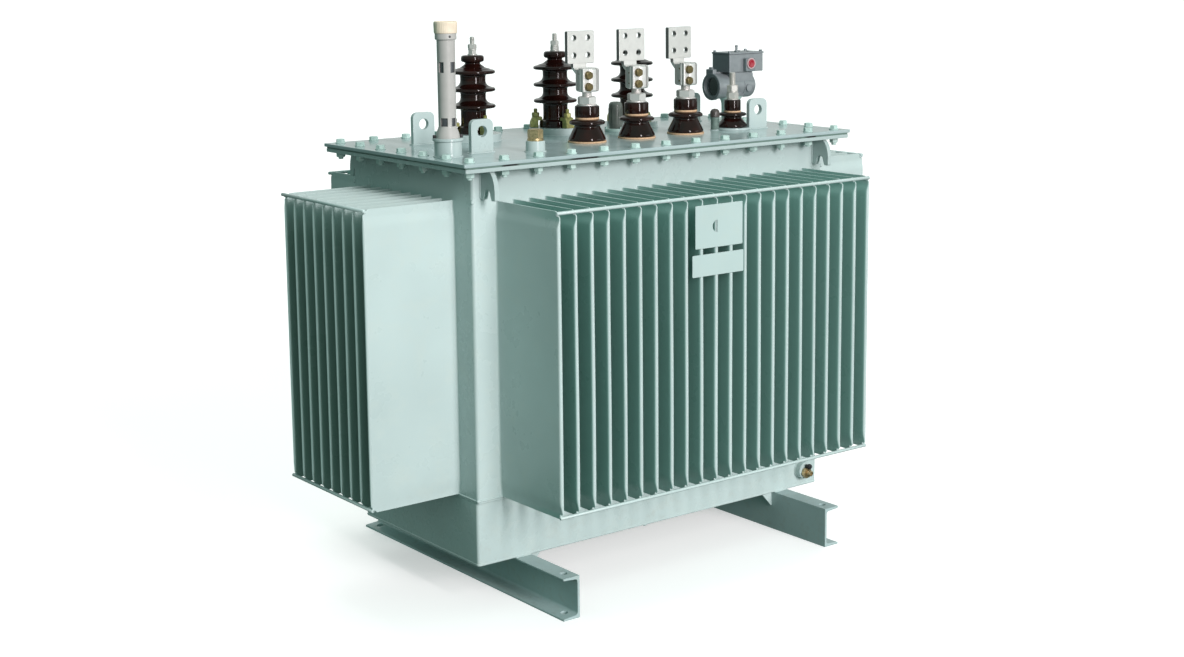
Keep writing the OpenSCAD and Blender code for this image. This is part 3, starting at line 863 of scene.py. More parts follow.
FIN_Z = [FZ0, FZ0 + 2, FZ0 + 6, FZ0 + 10, FZ0 + 13.66, FZ0 + 18, FZ0 + 23, FZ0 + 28, FZ0 + 34, FZ0 + 42, FZ0 + 52, FZ0 + 80,
         FZ0 + 130, FZ0 + 200, FZ0 + 280, FZ0 + 344, FZ0 + 410, FZ0 + 480, FZ0 + 560, FZ0 + 610,
         FZ1 - 52, FZ1 - 44, FZ1 - 38, FZ1 - 33, FZ1 - 28, FZ1 - 24, FZ1 - 20, FZ1 - 16, FZ1 - 13.66, FZ1 - 10, FZ1 - 6, FZ1 - 2, FZ1]


def fin_mesh(seed):
    """One cooling fin, root at Y = 0 and tip towards -Y."""
    rng = random.Random(seed)
    bow = rng.uniform(-0.9, 0.9)
    bow2 = rng.uniform(-0.7, 0.7)
    sw = rng.uniform(-0.25, 0.25)
    pin = rng.uniform(-2.0, 2.0)
    rings = []
    for z in FIN_Z:
        hb = 1.5 + 3.5 * smooth01((z - FZ0 - 3 - pin * 0.3) / 40.0)
        ht = 1.5 + 3.5 * smooth01((FZ1 - 14 - pin - z) / 26.0)
        h = min(hb, ht) + (0.0 if 1.6 > min(hb, ht) else sw * smooth01((min(hb, ht) - 1.5) / 3.5))
        D = FD - max(0.0, 13.66 - (FZ1 - z), 13.66 - (z - FZ0))
        t = (z - FZ0) / (FZ1 - FZ0)
        lean = 1.7 * (1.0 - smooth01((min(hb, ht) - 1.5) / 3.5))
        dx = lambda y: (bow * sin(pi * t) + bow2 * sin(2 * pi * t)) * min(1.0, -y / FD * 1.4) * (1.25 - 0.45 * (-y / FD)) + lean * min(1.0, -y / FD * 1.2)
        ys = [0.0, -0.9, -2.6, -5.2, -40, -90, -140, -185, -D + h + 6]
        hw = [h + 4.2, h + 2.0, h + 0.6, h, h + 0.15, h + 0.35, h + 0.35, h + 0.15, h]
        left = [(-w + dx(y), y, z) for y, w in zip(ys, hw)]
        rgt = [(w + dx(y), y, z) for y, w in zip(ys, hw)]
        nose = []
        for k in range(9):
            a = radians(180 + 180 * k / 8)
            nose.append((h * cos(a) + dx(-D), -D + h + h * sin(a), z))
        rings.append(left + nose + rgt[::-1])
    # the root face is open to the wall, so it is closed flat against it
    return loft(rings, caps=True)


FINS = [fin_mesh(100 + k) for k in range(7)]


RIGHT_LIFT = 9.0        # the right-hand bank sits a little higher than the others


def fin_piece(name, node, ang, half, n, seed, up=0.0):
    rng = random.Random(seed)
    p = Part()
    for i in range(n):
        p.add(FINS[rng.randrange(len(FINS))], T(0, 0, up) @ R(ang, "Z") @ T((i - (n - 1) / 2) * PITCH, -half + 0.5, 0))
    return make(name, p, M_FIN, (node,), sharp=42, wn=False)


fin_piece("fin_bank_front", "front_fins", 0, HW, N_LONG, 11)
fin_piece("fin_bank_rear", "rear_fins", 180, HW, N_LONG, 12)
fin_piece("fin_bank_left", "left_fins", -90, HL, N_SHORT, 13)
fin_piece("fin_bank_right", "right_fins", 90, HL, N_SHORT, 14, RIGHT_LIFT)

# tie rods, with a small weld at each fin
p = Part()
rng = random.Random(21)
for ang, half, n, ea, eb, up in ((0, HW, N_LONG, 5, 5, 0), (180, HW, N_LONG, 11, 11, 0), (-90, HL, N_SHORT, 16, 4, 0), (90, HL, N_SHORT, 4, 10, RIGHT_LIFT)):
    L = (n - 1) * PITCH / 2
    Q = T(0, 0, up) @ R(ang, "Z")
    for z in (FZ0 + 4, FZ1 - 4):
        trim = -4.0 if (ang == -90 and z < 500) else 0.0
        a, b = -L - ea - trim, L + eb
        rod = lathe([(0, a), (3.2, a), (4, a + 0.9), (4, b - 0.9), (3.2, b), (0, b)], 18)
        p.add(rod, Q @ T(0, -half - FD + 4, z) @ R(90, "Y"))
        s = 1 if z < 500 else -1
        for i in range(n):
            x = (i - (n - 1) / 2) * PITCH
            M = Q @ T(x + rng.uniform(-0.6, 0.6), -half - FD + 4 + 4.6, z + s * 4.4)
            p.add(blob(3.0, 1.25 * rng.uniform(0.85, 1.15), 1.0, 1.0, 8, 5), M)
        # the end of the rod is welded to the outer fins
        for e in (-1, 1):
            M = Q @ T(e * (L + 2.0), -half - FD + 5.5, z + s * 2.5)
            p.add(blob(3.6, 1.1, 1.0, 1.2, 9, 6), M)
make("tie_rods", p, M_PAINT, ("fin_tie_rods",), sharp=50, wn=False)

# ----------------------------------------------------------------------------
# frame, gasket, cover
# ----------------------------------------------------------------------------
FX, FY = 588.0, 312.0
p = Part()
p.add(plate(rrect(FX, FY, 4, 4), WALL_TOP, ZF, 1.0, [rrect(529, 250, 3, 4)], seg=2))
make("top_frame_ring", p, M_PAINT, ("top_frame",))

# gasket strip: stands back a little, and bulges out here and there
ring = resample([(x, y, 0) for x, y in rrect(587.2, 311.4, 4.4, 5)], 6.0, True)
rng = random.Random(4)
amp = []
vals = [rng.random() for _ in range(64)]
for i, q in enumerate(ring):
    t = i / len(ring) * 64
    a, b = vals[int(t) % 64], vals[(int(t) + 1) % 64]
    u = smooth01(t - int(t))
    amp.append(a * (1 - u) + b * u)
rows = []
for dz, w in ((0, 0.0), (1.0, 0.75), (2.0, 1.0), (3.0, 0.75), (4.0, 0.0)):
    row = []
    for q, a in zip(ring, amp):
        nx = max(-1, min(1, q.x / 587.2)) if abs(q.x) > 582 else 0
        ny = max(-1, min(1, q.y / 311.4)) if abs(q.y) > 306 else 0
        o = w * (0.3 + max(0.0, a - 0.62) * 2.2)
        row.append((q.x + nx * o, q.y + ny * o, ZF + dz))
    rows.append(row)
inner = [(q.x * 0.93, q.y * 0.88, ZF) for q in ring]
inner2 = [(q.x * 0.93, q.y * 0.88, ZG) for q in ring]
rr = rows + [inner2, inner]
v, f = loft(rr + [rr[0]], caps=False)
n = len(ring)
v = v[:len(rr) * n]
f = [tuple(i % (len(rr) * n) for i in q) for q in f]
make("gasket_strip", (v, f), M_GASKET, ("cover_gasket",), sharp=60, wn=False)

CX, CY = 593.0, 314.0
p = Part()
p.add(plate(rrect(CX, CY, 3.5, 4), ZG, ZC, 1.1, seg=3))
make("cover_plate", p, M_TOP, ("cover",))

# cover bolts: head and washer above, washer, nut and stud end below
BOLT_XY = []
for i in range(13):
    x = -562 + 93.667 * i
    BOLT_XY += [(x, -286), (x, 286)]
for k in range(1, 6):
    y = -286 + 95.333 * k
    BOLT_XY += [(-562, y), (562, y)]
p = Part()
rng = random.Random(33)
for x, y in BOLT_XY:
    jx, jy = rng.uniform(-0.8, 0.8), rng.uniform(-0.8, 0.8)
    M = T(x + jx, y + jy, 0)
    p.add(disc(12.4, ZC, ZC + 2.4, 0.6, 26, 2), M)
    p.add(hexhead(19, 8.2), M @ T(0, 0, ZC + 2.4) @ R(rng.uniform(0, 60), "Z"))
    p.add(disc(12.4, WALL_TOP - 2.4, WALL_TOP, 0.6, 26, 2), M)
    p.add(hexhead(19, 10.4, both=True), M @ T(0, 0, WALL_TOP - 12.8) @ R(rng.uniform(0, 60), "Z"))
    e = rng.uniform(3.0, 6.0)
    p.add(lathe([(0, WALL_TOP - 12.8 - e), (5.0, WALL_TOP - 12.8 - e), (6.0, WALL_TOP - 11.8 - e), (6.0, WALL_TOP - 12.2), (0, WALL_TOP - 12.2)], 18), M)
make("cover_bolts", p, M_FITT, sharp=28, wn=False)

# core block stays as it is, inside
NODE["core_and_oil"].data.materials.clear()
NODE["core_and_oil"].data.materials.append(M_CORE)

# hooks under the frame
p = Part()
ho = [(0, 0), (40, 0), (46, -7), (52, -17), (56, -28), (58, -40), (58, -61), (55, -66), (45.2, -66), (38.7, -56)]
arc = []
for k in range(11):
    a = radians(-10 + 200 * k / 10)
    arc.append((28 + 11 * cos(a), -53 + 11 * sin(a)))
ho2 = [(0, 0), (38, 0, 3), (45.5, -7, 10), (52, -17, 20), (56, -29, 20), (58, -42, 20), (58, -66, 4), (44.0, -66, 3), (39.4, -55)]
ho2 = fillet(ho2, 0, 3, closed=False) + arc[1:-1] + fillet([(16.6, -55), (12.0, -66, 3), (0, -66)], 0, 3)
for sx in (-1, 1):
    for sy in (-1, 1):
        v, f = plate(ho2, -6, 6, 1.4, seg=2)
        M = axes((0, sy, 0), (0, 0, 1), (sy, 0, 0), (sx * 513, sy * HW, WALL_TOP))
        p.add((v, f), M)
        for s in (-1, 1):
            p.add(bead([(sx * 513 + s * 6.2, sy * (HW + 0.6), WALL_TOP - 64), (sx * 513 + s * 6.2, sy * (HW + 0.6), WALL_TOP - 2)], 2.2, 2.4, seed=40 + s), None)
make("hook_plates", p, M_PAINT, ("tank_hooks",))

# lifting lugs on the cover
p = Part()
lo = fillet([(-30.5, 0), (-30.5, 78.5, 14), (30.5, 78.5, 14), (30.5, 0)], 0, 6)
for x, y in ((-427, -132), (433, -132), (-427, 121), (433, 132)):
    if True:
        v, f = plate(lo, -6, 6, 1.3, [circle(13, 36, 0, 50)], seg=2, hbev=0.8)
        p.add((v, f), axes((1, 0, 0), (0, 0, 1), (0, -1, 0), (x, y, ZC)))
        ring = [(a, b, ZC + 0.4) for a, b in rrect(31.7, 7.2, 1.5, 2, x, y)]
        p.add(bead(ring, 2.8, 2.6, True, seed=50, wave=7))
make("lug_plates", p, M_LUG, ("lifting_lugs",))

# ----------------------------------------------------------------------------
# high-voltage bushings
# ----------------------------------------------------------------------------
p = Part()
for x, y in HV:
    p.add(disc(67, ZC, ZC + 18, 1.6, 72, 3), T(x, y, 0))
    ring = [(x + 67.6 * cos(2 * pi * k / 60), y + 67.6 * sin(2 * pi * k / 60), ZC + 0.5) for k in range(60)]
    p.add(bead(ring, 2.6, 3.4, True, seed=60, wave=7))
make("hv_turret_rings", p, M_LUG, ("hv_turrets",))

def shed(z):
    """Rim of one shed, its blunt edge centred at z: flat below, short hollow slope above."""
    return [(31.4, z - 10), (33.0, z - 6.4), (37.5, z - 4.7), (50.5, z - 4.0), (54.0, z - 2.6), (55.0, z + 0.2), (54.6, z + 2.6), (52.2, z + 4.5),
            (45.5, z + 6.2), (39.5, z + 8.8), (35.0, z + 12.2), (32.4, z + 16.4)]


hv_pts = [(41, 0, 1), (41, 12.5), (39.5, 16), (35, 17.8), (32, 20.5), (31.3, 27), (31.3, 48)] + shed(66.5) + [(31.3, 88), (31.3, 92)] + shed(107.5) \
    + [(31.3, 129), (31.3, 134)] + shed(150.5)[:-2] + [(31.0, 161.8), (25.0, 166.2), (20.2, 169.6), (18.7, 172.0), (19.8, 174.4), (24.4, 175.8), (27.4, 177.8), (28.2, 181),
                                                      (28.2, 185.6), (27.0, 189.4), (23.6, 191.6), (16, 192, 1)]
prof = [(0, 0)] + spline(hv_pts, 3) + [(0, 192)]
p = Part()
for x, y in HV:
    p.add(lathe(prof, 72), T(x, y, ZC + 18))
make("hv_porcelain", p, M_GLAZE, ("hv_insulators",), sharp=50, wn=False)

p = Part()
rng = random.Random(70)
for x, y in HV:
    M = T(x, y, ZC + 210)
    p.add(disc(12.0, 0, 2.6, 0.5, 28, 2), M)
    p.add(hexhead(19, 10.2, both=True), M @ T(0, 0, 2.6) @ R(rng.uniform(0, 60), "Z"))
    p.add(disc(10.4, 12.8, 15.6, 0.6, 28, 2), M)
    p.add(hexhead(19, 11.2, both=True), M @ T(0, 0, 15.6) @ R(rng.uniform(0, 60), "Z"))
    p.add(thread(12, 25, 45, 1.75, 18), M)
make("hv_terminal_studs", p, M_STUD, ("hv_studs",), sharp=28, wn=False)

p = Part()
rng = random.Random(71)
for x, y in HV:
    for a in (-90, 30, 150):
        M = T(x, y, ZC + 18) @ R(a, "Z")
        # clamp block outside the collar, with a toe over it and a sloping back
        cl = fillet([(35, 17.6), (45, 17.6), (45, 0.2), (66, 0.2), (65, 14, 4), (59, 26.5, 5), (35, 26.5, 2)], 0.0, 4, closed=True)
        v, f = plate(cl, -12.5, 12.5, 1.6, seg=3)
        p.add((v, f), M @ axes((1, 0, 0), (0, 0, 1), (0, -1, 0)))
        p.add(disc(10, 26.4, 28.4, 0.5, 24, 2), M @ T(51, 0, 0))
        p.add(hexhead(17, 9, both=True), M @ T(51, 0, 28.4) @ R(rng.uniform(0, 60), "Z"))
        p.add(thread(10, 34, 48 - rng.uniform(0, 1), 1.5, 14), M @ T(51, 0, 0))
make("hv_clamp_set", p, M_ZINC, ("hv_clamps",), sharp=28)

# ----------------------------------------------------------------------------
# low-voltage bushings
# ----------------------------------------------------------------------------
p = Part()
for x, y in LV[:3]:
    p.add(disc(47, ZC, ZC + 4, 0.9, 60, 2), T(x, y, 0))
    p.add(disc(29.5, ZC + 56, ZC + 61, 1.2, 48, 2), T(x, y, 0))
make("lv_seal_rings", p, M_TAN, ("lv_gaskets",))

lv_pts = [(43.5, 0.4), (45.3, 2.4), (45.2, 5.5), (43.2, 10), (38.4, 20), (33.8, 29), (31.6, 33.6), (32.4, 36.8), (37.8, 38.8), (42.0, 40.0), (43.8, 42.6), (43.2, 46.2), (39.6, 49), (33, 51.2), (28, 52, 1)]
lprof = [(0, 0), (42, 0)] + spline(lv_pts, 3) + [(0, 52)]
p = Part()
for x, y in LV[:3]:
    p.add(lathe(lprof, 64), T(x, y, ZC + 4))
    up_p = fillet([(0, 61), (30, 61, 1.8), (30, 89, 3.6), (0, 89)], 0, 4)
    p.add(lathe([(0, 61)] + up_p[1:-1] + [(0, 89)], 56), T(x, y, ZC))
make("lv_porcelain", p, M_GLAZE, ("lv_insulators",), sharp=50, wn=False)

p = Part()
rng = random.Random(80)
for x, y in LV[:3]:
    M = T(x, y, ZC + 89)
    p.add(disc(25, 0, 3, 0.7, 40, 2), M)
    p.add(hexhead(41, 19, both=True), M @ T(0, 0, 3) @ R(8 + rng.uniform(-6, 6), "Z"))
    p.add(thread(24, 20, 92, 2.0, 28), M)
make("lv_terminal_studs", p, M_TINF, ("lv_studs",), sharp=28, wn=False)


def flag(o):
    """Terminal: split clamp on the stud, tongue behind it, palm standing o to one side."""
    q = Part()
    # clamp barrel round the stud, split at the front with a narrow groove
    prof = fillet([(12.2, 34), (28.5, 34, 5.5), (28.5, 91, 5.5), (12.2, 91)], 0, 5)
    gap = 6.2
    seg = 60
    rings = []
    for k in range(seg + 1):
        a = radians(-74 + gap / 2 + (360 - gap) * k / seg)
        rings.append([(r * cos(a), r * sin(a), z) for r, z in prof])
    q.add(loft(rings), T(2, 0, 0))
    # the groove is shallow: a thin web closes it behind
    q.add(block(11.0, 25.4, -2.2, 2.2, 36.5, 88.5, 0.6), T(2, 0, 0) @ R(-74, "Z"))
    # ears that the two bolts pull together, with a narrow slit between them
    q.add(block(-30, 5, -25, -16.3, 34.2, 90.8, 2.2, 4, 3))
    q.add(block(-30, 5, -15.1, -7.6, 34.4, 90.6, 2.0, 4, 3))
    q.add(block(-28, 5, -17.5, -13, 36, 89, 0.8, 2, 2))
    # sloping tongue at the back, up to the palm
    web = fillet([(-12, 75, 3), (-20, 84, 6), (-26, 92, 6), (-27, 103), (14, 103), (14, 92, 8), (15.5, 75, 2)], 0, 4, closed=True)
    q.add(plate(web, -25.6, -14.4, 1.4, seg=2), axes((1, 0, 0), (0, 0, 1), (0, -1, 0), (o / 2, 0, 0)))
    # palm with four holes
    pal = fillet([(o - 40.5, 101, 3), (o - 40.5, 180, 3), (o + 40.5, 180, 3), (o + 40.5, 101, 3)], 0, 4, closed=True)
    holes = [circle(7.2, 32, o + a, b) for a in (-21, 21) for b in (121, 163)]
    q.add(plate(pal, -26, -14, 1.5, holes, seg=3, hbev=0.8), axes((1, 0, 0), (0, 0, 1), (0, -1, 0)))
    return q.out()


TURN = (0.0, 0.0, 5.5)
p = Part()
for (x, y), a, o in zip(LV[:3], TURN, (-6, -2, -5)):
    p.add(flag(o), T(x, y, ZC + 89) @ R(a, "Z"))
make("lv_flag_clamps", p, M_TINF, ("lv_flags",), sharp=30)

p = Part()
rng = random.Random(81)
for (x, y), a in zip(LV[:3], TURN):
    for z in (46.5, 74.5):
        Q = T(x, y, ZC + 89) @ R(a, "Z")
        M = Q @ axes((1, 0, 0), (0, 0, 1), (0, -1, 0), (-14.5, -25, z))
        p.add(disc(10.4, -0.2, 1.4, 0.4, 28, 2), M)
        p.add(hexhead(18, 6.6), M @ T(0, 0, 1.4) @ R(rng.uniform(0, 60), "Z"))
        M = Q @ axes((-1, 0, 0), (0, 0, 1), (0, 1, 0), (-17.5, -8.0, z))
        p.add(hexhead(17, 7, both=True), M @ R(rng.uniform(0, 60), "Z"))
        p.add(thread(10, 6, 11, 1.5, 14), M)
make("lv_clamp_screws", p, M_BOLTB, ("lv_clamp_bolts",), sharp=28, wn=False)

# neutral
nx, ny = LV[3]
p = Part()
p.add(disc(46, ZC, ZC + 6, 1.0, 60, 2), T(nx, ny, 0))
make("neutral_pad_disc", p, M_LUG, ("neutral_pad",))
n_pts = [(35.5, 0.4), (37.6, 2.4), (37.4, 6), (34.2, 11), (28.6, 18), (24.6, 23.0), (24.0, 26.2), (27.6, 28.6), (33.8, 30), (36, 32.4), (35.4, 35.4), (32, 37.6), (24, 39, 1)]
p = Part()
p.add(lathe([(0, 0), (34, 0)] + spline(n_pts, 3) + [(0, 39)], 56), T(nx, ny, ZC + 6))
up_p = fillet([(0, 49), (21.5, 49, 1.2), (21.5, 77, 2.6), (0, 77)], 0, 4)
p.add(lathe([(0, 49)] + up_p[1:-1] + [(0, 77)], 48), T(nx, ny, ZC))
make("neutral_porcelain", p, M_GLAZE, ("neutral_insulator",), sharp=50, wn=False)
p = Part()
p.add(disc(22, ZC + 45, ZC + 49, 1.0, 44, 2), T(nx, ny, 0))
make("neutral_seal_ring", p, M_TAN)
p = Part()
M = T(nx, ny, ZC + 77)
p.add(disc(16, 0, 2.8, 0.6, 36, 2), M)
p.add(hexhead(27, 16, both=True), M @ T(0, 0, 2.8) @ R(12, "Z"))
p.add(disc(14.4, 18.8, 21.8, 0.6, 34, 2), M)
p.add(hexhead(27, 16, both=True), M @ T(0, 0, 21.8) @ R(41, "Z"))
p.add(thread(16, 36, 70, 2.0, 24), M)
make("neutral_terminal_stud", p, M_NEUT, ("neutral_stud",), sharp=28, wn=False)

# ----------------------------------------------------------------------------
# oil gauge
# ----------------------------------------------------------------------------
G = T(GX, GY, ZC)
p = Part()
p.add(lathe(fillet([(0, 0), (31.5, 0), (31.5, 34.6, 1.2), (30.8, 35.2), (30.8, 36.2), (34.2, 36.4), (35, 37.2, 0.5), (35, 43, 1.2), (0, 43)], 0, 3), 64), G)
p.add(bead([(32.1 * cos(2 * pi * k / 48), 32.1 * sin(2 * pi * k / 48), 0.5) for k in range(48)], 2.4, 3.0, True, seed=90, wave=6), G)
make("gauge_stub_ring", p, M_LUG, ("gauge_stub",))

# tube wall with two rows of windows cut through
def tube_r(z):
    return 20.3 + 0.5 * max(0.0, min(1.0, (z - 60) / 205.0))


p = Part()
outer = [(27.5, 43), (27.5, 44.6), (26.8, 50), (25.2, 56), (23.2, 61.5), (21.4, 66), (tube_r(69), 69)]
z = 76.0
while z < 262:
    outer.append((tube_r(z), z))
    z += 12
outer += [(20.8, 263.6), (21.6, 264.6), (23.8, 265), (24.6, 266), (24.6, 278.4), (24.2, 279)]
inner = [(18.0, 279), (18.0, 43)]
p.add(lathe(outer + inner, 96, ring=True), G)
c = Part()
to_cam = degrees = math.degrees(atan2(-3.56507 * 1000 - GY, -2.71623 * 1000 - GX))


def window(ang, width, z0, z1):
    """Cutter from the axis outwards, at an angle in degrees from +X."""
    h = width / 2
    pts = fillet([(14, -h), (32, -h), (32, h), (14, h)], 0, 1, closed=True)
    return plate([(a, b) for a, b in pts], z0, z1, 0), G @ R(ang, "Z")


# the camera sees the tube from -X -Y: windows sit left and right of its line
for dz0, dz1, angs in ((70, 89, ((-23, 17), (48, 13.5))), (191, 215, ((-35, 13), (50, 16)))):
    for a, w in angs:
        for rot in (0, 180):
            vf, M = window(to_cam + a + rot, w, dz0, dz1)
            c.add(vf, M)
make("gauge_tube", p, M_GREY, ("oil_gauge",), sharp=35, wn=False, cut=c)
p = Part()
p.add(lathe([(0, 46), (17.2, 46), (17.2, 277), (0, 277)], 48), G)
make("gauge_inner_glass", p, M_SMOKE, sharp=35, wn=False)
p = Part()
for k, a in enumerate((-23, 157)):
    M = G @ R(a, "Z") @ T(31.0, 0, 0)
    p.add(disc(3.9, 43, 44, 0.3, 18, 2), M)
    p.add(hexhead(6.8, 6.2), M @ T(0, 0, 44) @ R(17 * k, "Z"))
M = G @ R(to_cam + 22, "Z") @ T(24.2, 0, 272) @ R(90, "Y")
p.add(disc(2.7, -1, 1.3, 0.5, 16, 2), M)
make("gauge_screws", p, M_BLACK, sharp=30, wn=False)

# cap with grip ribs and a notched rim
p = Part()
prof = fillet([(0, 279), (26, 279, 0.8), (26.6, 282), (27.2, 302, 1.5), (25.6, 305.5, 1.2), (23.2, 305.7, 0.6), (22.6, 303.6), (0, 303.2)], 0, 3)
seg = 120
v, f = lathe(prof, seg)
V2 = []
for (x, y, z) in v:
    r = hypot(x, y)
    if r > 25.2 and 281.5 < z < 303:
        a = atan2(y, x)
        k = 0.5 + 0.5 * cos(a * 40)
        r2_ = r - 0.8 * k
        x, y = x * r2_ / r, y * r2_ / r
    V2.append((x, y, z))
p.add((V2, f), G)
for k in range(12):
    p.add(block(22.9, 25.8, -2.3, 2.3, 302.8, 305.9, 0.5), G @ R(30 * k + 7, "Z"))
make("gauge_cap_turned", p, M_CREAM, ("gauge_cap",), sharp=38, wn=False)

# ----------------------------------------------------------------------------
# protection relay
# ----------------------------------------------------------------------------
K = T(RX, RY, ZC)
S1 = Matrix.Diagonal((1.04, 0.92, 1.0, 1.0))
p = Part()
p.add(disc(48, 0, 10, 1.4, 60, 3), K)
p.add(lathe([(0, 8), (27, 8), (25, 10), (24, 12.5), (24, 50), (24.6, 56), (26.2, 62), (29.2, 68), (33.6, 73), (36.5, 76), (0, 76)], 56), K @ S1)
for k in range(4):
    M = K @ R(45 + 90 * k, "Z") @ T(39, 0, 0)
    p.add(disc(7.4, 10, 11.4, 0.4, 22, 2), M)
    p.add(hexhead(12, 6), M @ T(0, 0, 11.4) @ R(20 * k, "Z"))
make("relay_neck_flange", p, M_FITT, ("relay_neck",), sharp=30)

p = Part()
AX = axes((0, 0, -1), (0, 1, 0), (1, 0, 0), (0, RY, ZC + 102))      # turned about a line along +X
# port ring with a recess, barrel, rounded shoulder and rear chamfer, all one turning
bp = [(24, 425), (24, 418.4), (26.4, 417.6), (26.8, 412), (28.0, 408.6), (29.6, 408), (34.6, 408), (36, 409.2), (36, 417.6), (35, 419.4), (33.2, 420.6), (33, 424),
      (33, 470), (32.9, 498.6), (32.0, 499.3), (32.0, 500.3), (32.9, 501), (33, 524), (33, 536.6), (32.4, 537.8), (23.8, 546.4), (22.6, 547), (0, 547)]
prof = [(0, 425)] + [(r, x) for r, x in bp]
p.add(lathe(prof, 72), AX)
# saddle that carries the box
sad = fillet([(452, 0), (452, 32, 5), (456, 37, 2), (528, 37, 2), (532, 32, 5), (532, 0)], 0, 3)
p.add(plate([(a, b) for a, b in sad], -30, 30, 2.0, seg=3), axes((1, 0, 0), (0, 0, 1), (0, -1, 0), (0, RY, ZC + 102)))
# the barrel's underside blends into the neck
p.add(lathe([(0, 70), (30.5, 70), (34.5, 74), (37.6, 76.4), (37.4, 78.5), (33.5, 82), (30, 92), (0, 92)], 56), K @ S1)
# bolt ear above the port and a rib along the top of the barrel
p.add(block(408.5, 424, -8, 22, 26, 46, 3, 4, 3), T(0, RY, ZC + 102))
p.add(block(422, 454, 2, 12, 24, 38, 1.5, 2, 2), T(0, RY, ZC + 102))
p.add(hexhead(11, 5), T(416, RY + 8, ZC + 148))
# side plug on the front of the barrel
p.add(disc(10, 0, 4, 0.8, 28, 2), axes((1, 0, 0), (0, 0, 1), (0, -1, 0), (514, RY - 31.5, ZC + 96)))
make("relay_casting", p, M_CAST, ("relay_body",), sharp=34)
p = Part()
p.add(disc(23.9, 418.8, 424.5, 0.5, 56, 2), AX)
make("relay_sight_glass", p, M_DARK, ("relay_glass",), sharp=40)

BX, BY = 504, RY + 1
p = Part()
body = plate(rrect(60, 35, 3, 3, BX, BY), ZC + 139, ZC + 186, 1.2, seg=2)
p.add(body)
lid = plate(rrect(62, 37, 3.5, 3, BX, BY), ZC + 186.4, ZC + 191, 0.9, seg=2)
p.add(lid)
for sx in (-1, 1):
    for sy in (-1, 1):
        M = T(BX + sx * 55, BY + sy * 30, ZC + 191)
        p.add(disc(4.6, 0, 1.0, 0.3, 20, 2), M)
        p.add(hexhead(7.5, 3.6), M @ T(0, 0, 1.0) @ R(25 * sx + 10 * sy, "Z"))
# post in the middle of the lid, and two small screws
M = T(BX - 8, BY - 4, ZC + 191)
p.add(lathe(fillet([(0, 0), (6.5, 0), (6.5, 3, 0.6), (3.2, 3.4), (3.2, 12), (3.9, 12.6), (3.9, 17.6, 1.2), (0, 18.4)], 0.3, 2), 20), M)
p.add(disc(3.4, 0, 3.2, 0.6, 18, 2), T(BX + 12, BY + 8, ZC + 191))
p.add(disc(3.4, 0, 3.2, 0.6, 18, 2), T(BX + 22, BY - 16, ZC + 191))
# cable boss at the right end, blanked
p.add(lathe(fillet([(0, 0), (11, 0), (11, 5, 0.8), (9, 5.4), (9, 9, 1), (0, 9.4)], 0.3, 2), 28), axes((0, 1, 0), (0, 0, 1), (1, 0, 0), (BX + 60, BY + 8, ZC + 163)))
make("relay_terminal_box", p, M_CAST, ("relay_box",), sharp=32)

MB = axes((1, 0, 0), (0, 0, 1), (0, -1, 0), (510, RY - 34, ZC + 161))
p = Part()
p.add(plate(rrect(17, 17, 2.5, 3, 0, -3), 0, 10.6, 1.2, seg=2), MB)
make("relay_button_boss", p, M_CASTD, sharp=32)
p = Part()
p.add(lathe([(11.2, 10.2), (14.4, 10.2), (15.0, 11.0), (14.8, 13.2), (13.8, 14.4), (12.0, 14.4), (11.2, 13.8)], 48, ring=True), MB)
make("relay_button_ring", p, M_RING, sharp=32)
p = Part()
p.add(lathe([(0, 9), (11.0, 9), (11.0, 13.8), (10.5, 14.8), (9.6, 15.2), (7, 14.9), (4, 14.5), (0, 14.3)], 40), MB)
make("relay_push_button", p, M_RED, ("relay_button",), sharp=40)

# ----------------------------------------------------------------------------
# small fittings on the cover
# ----------------------------------------------------------------------------
p = Part()
M = T(-320, -198, ZC)
p.add(lathe(fillet([(0, 0), (23, 0), (22.6, 26, 2), (0, 26)], 0, 3), 48), M)
p.add(bead([(-320 + 23.6 * cos(2 * pi * k / 32), -198 + 23.6 * sin(2 * pi * k / 32), ZC + 0.4) for k in range(32)], 2.2, 2.8, True, seed=95, wave=6))
p.add(bead([(326 + 11 * cos(2 * pi * k / 24), -90 + 11 * sin(2 * pi * k / 24), ZC + 0.4) for k in range(24)], 1.8, 2.4, True, seed=96, wave=6))
make("cover_bosses", p, M_LUG, ("filler_boss",), sharp=32)
p = Part()
p.add(lathe(fillet([(0, 0), (10.5, 0), (10.5, 27), (11.6, 28), (11.6, 33, 1), (10.2, 34.4), (0, 34.4)], 0.3, 2), 32), T(326, -90, ZC))
make("vent_body", p, M_VBODY, ("vent_valve",), sharp=32)
p = Part()
M = T(-320, -198, ZC + 26)
p.add(disc(19, 0, 5, 0.9, 44, 2), M)
p.add(lathe([(0, 5), (16.4, 5), (16.4, 6.4), (0, 6.4)], 36), M)
p.add(hexhead(32, 20.4), M @ T(0, 0, 6.4) @ R(14, "Z"))
make("filler_plug_brass", p, M_BRASS, ("filler_plug",), sharp=28)
p = Part()
M = T(326, -90, ZC + 34)
pts = fillet([(0, 0), (12.5, 0, 0.6), (12.5, 9, 1.0), (11.8, 15, 5), (7.8, 20, 4), (0, 21.9)], 0, 5)
v, f = lathe(pts, 72)
v = [((x * (1 - 0.035 * (0.5 + 0.5 * cos(18 * atan2(y, x)))), y * (1 - 0.035 * (0.5 + 0.5 * cos(18 * atan2(y, x)))), z) if hypot(x, y) > 11.0 and z < 9 else (x, y, z)) for x, y, z in v]
p.add((v, f), M)
make("vent_cap", p, M_VCAP, sharp=38, wn=False)

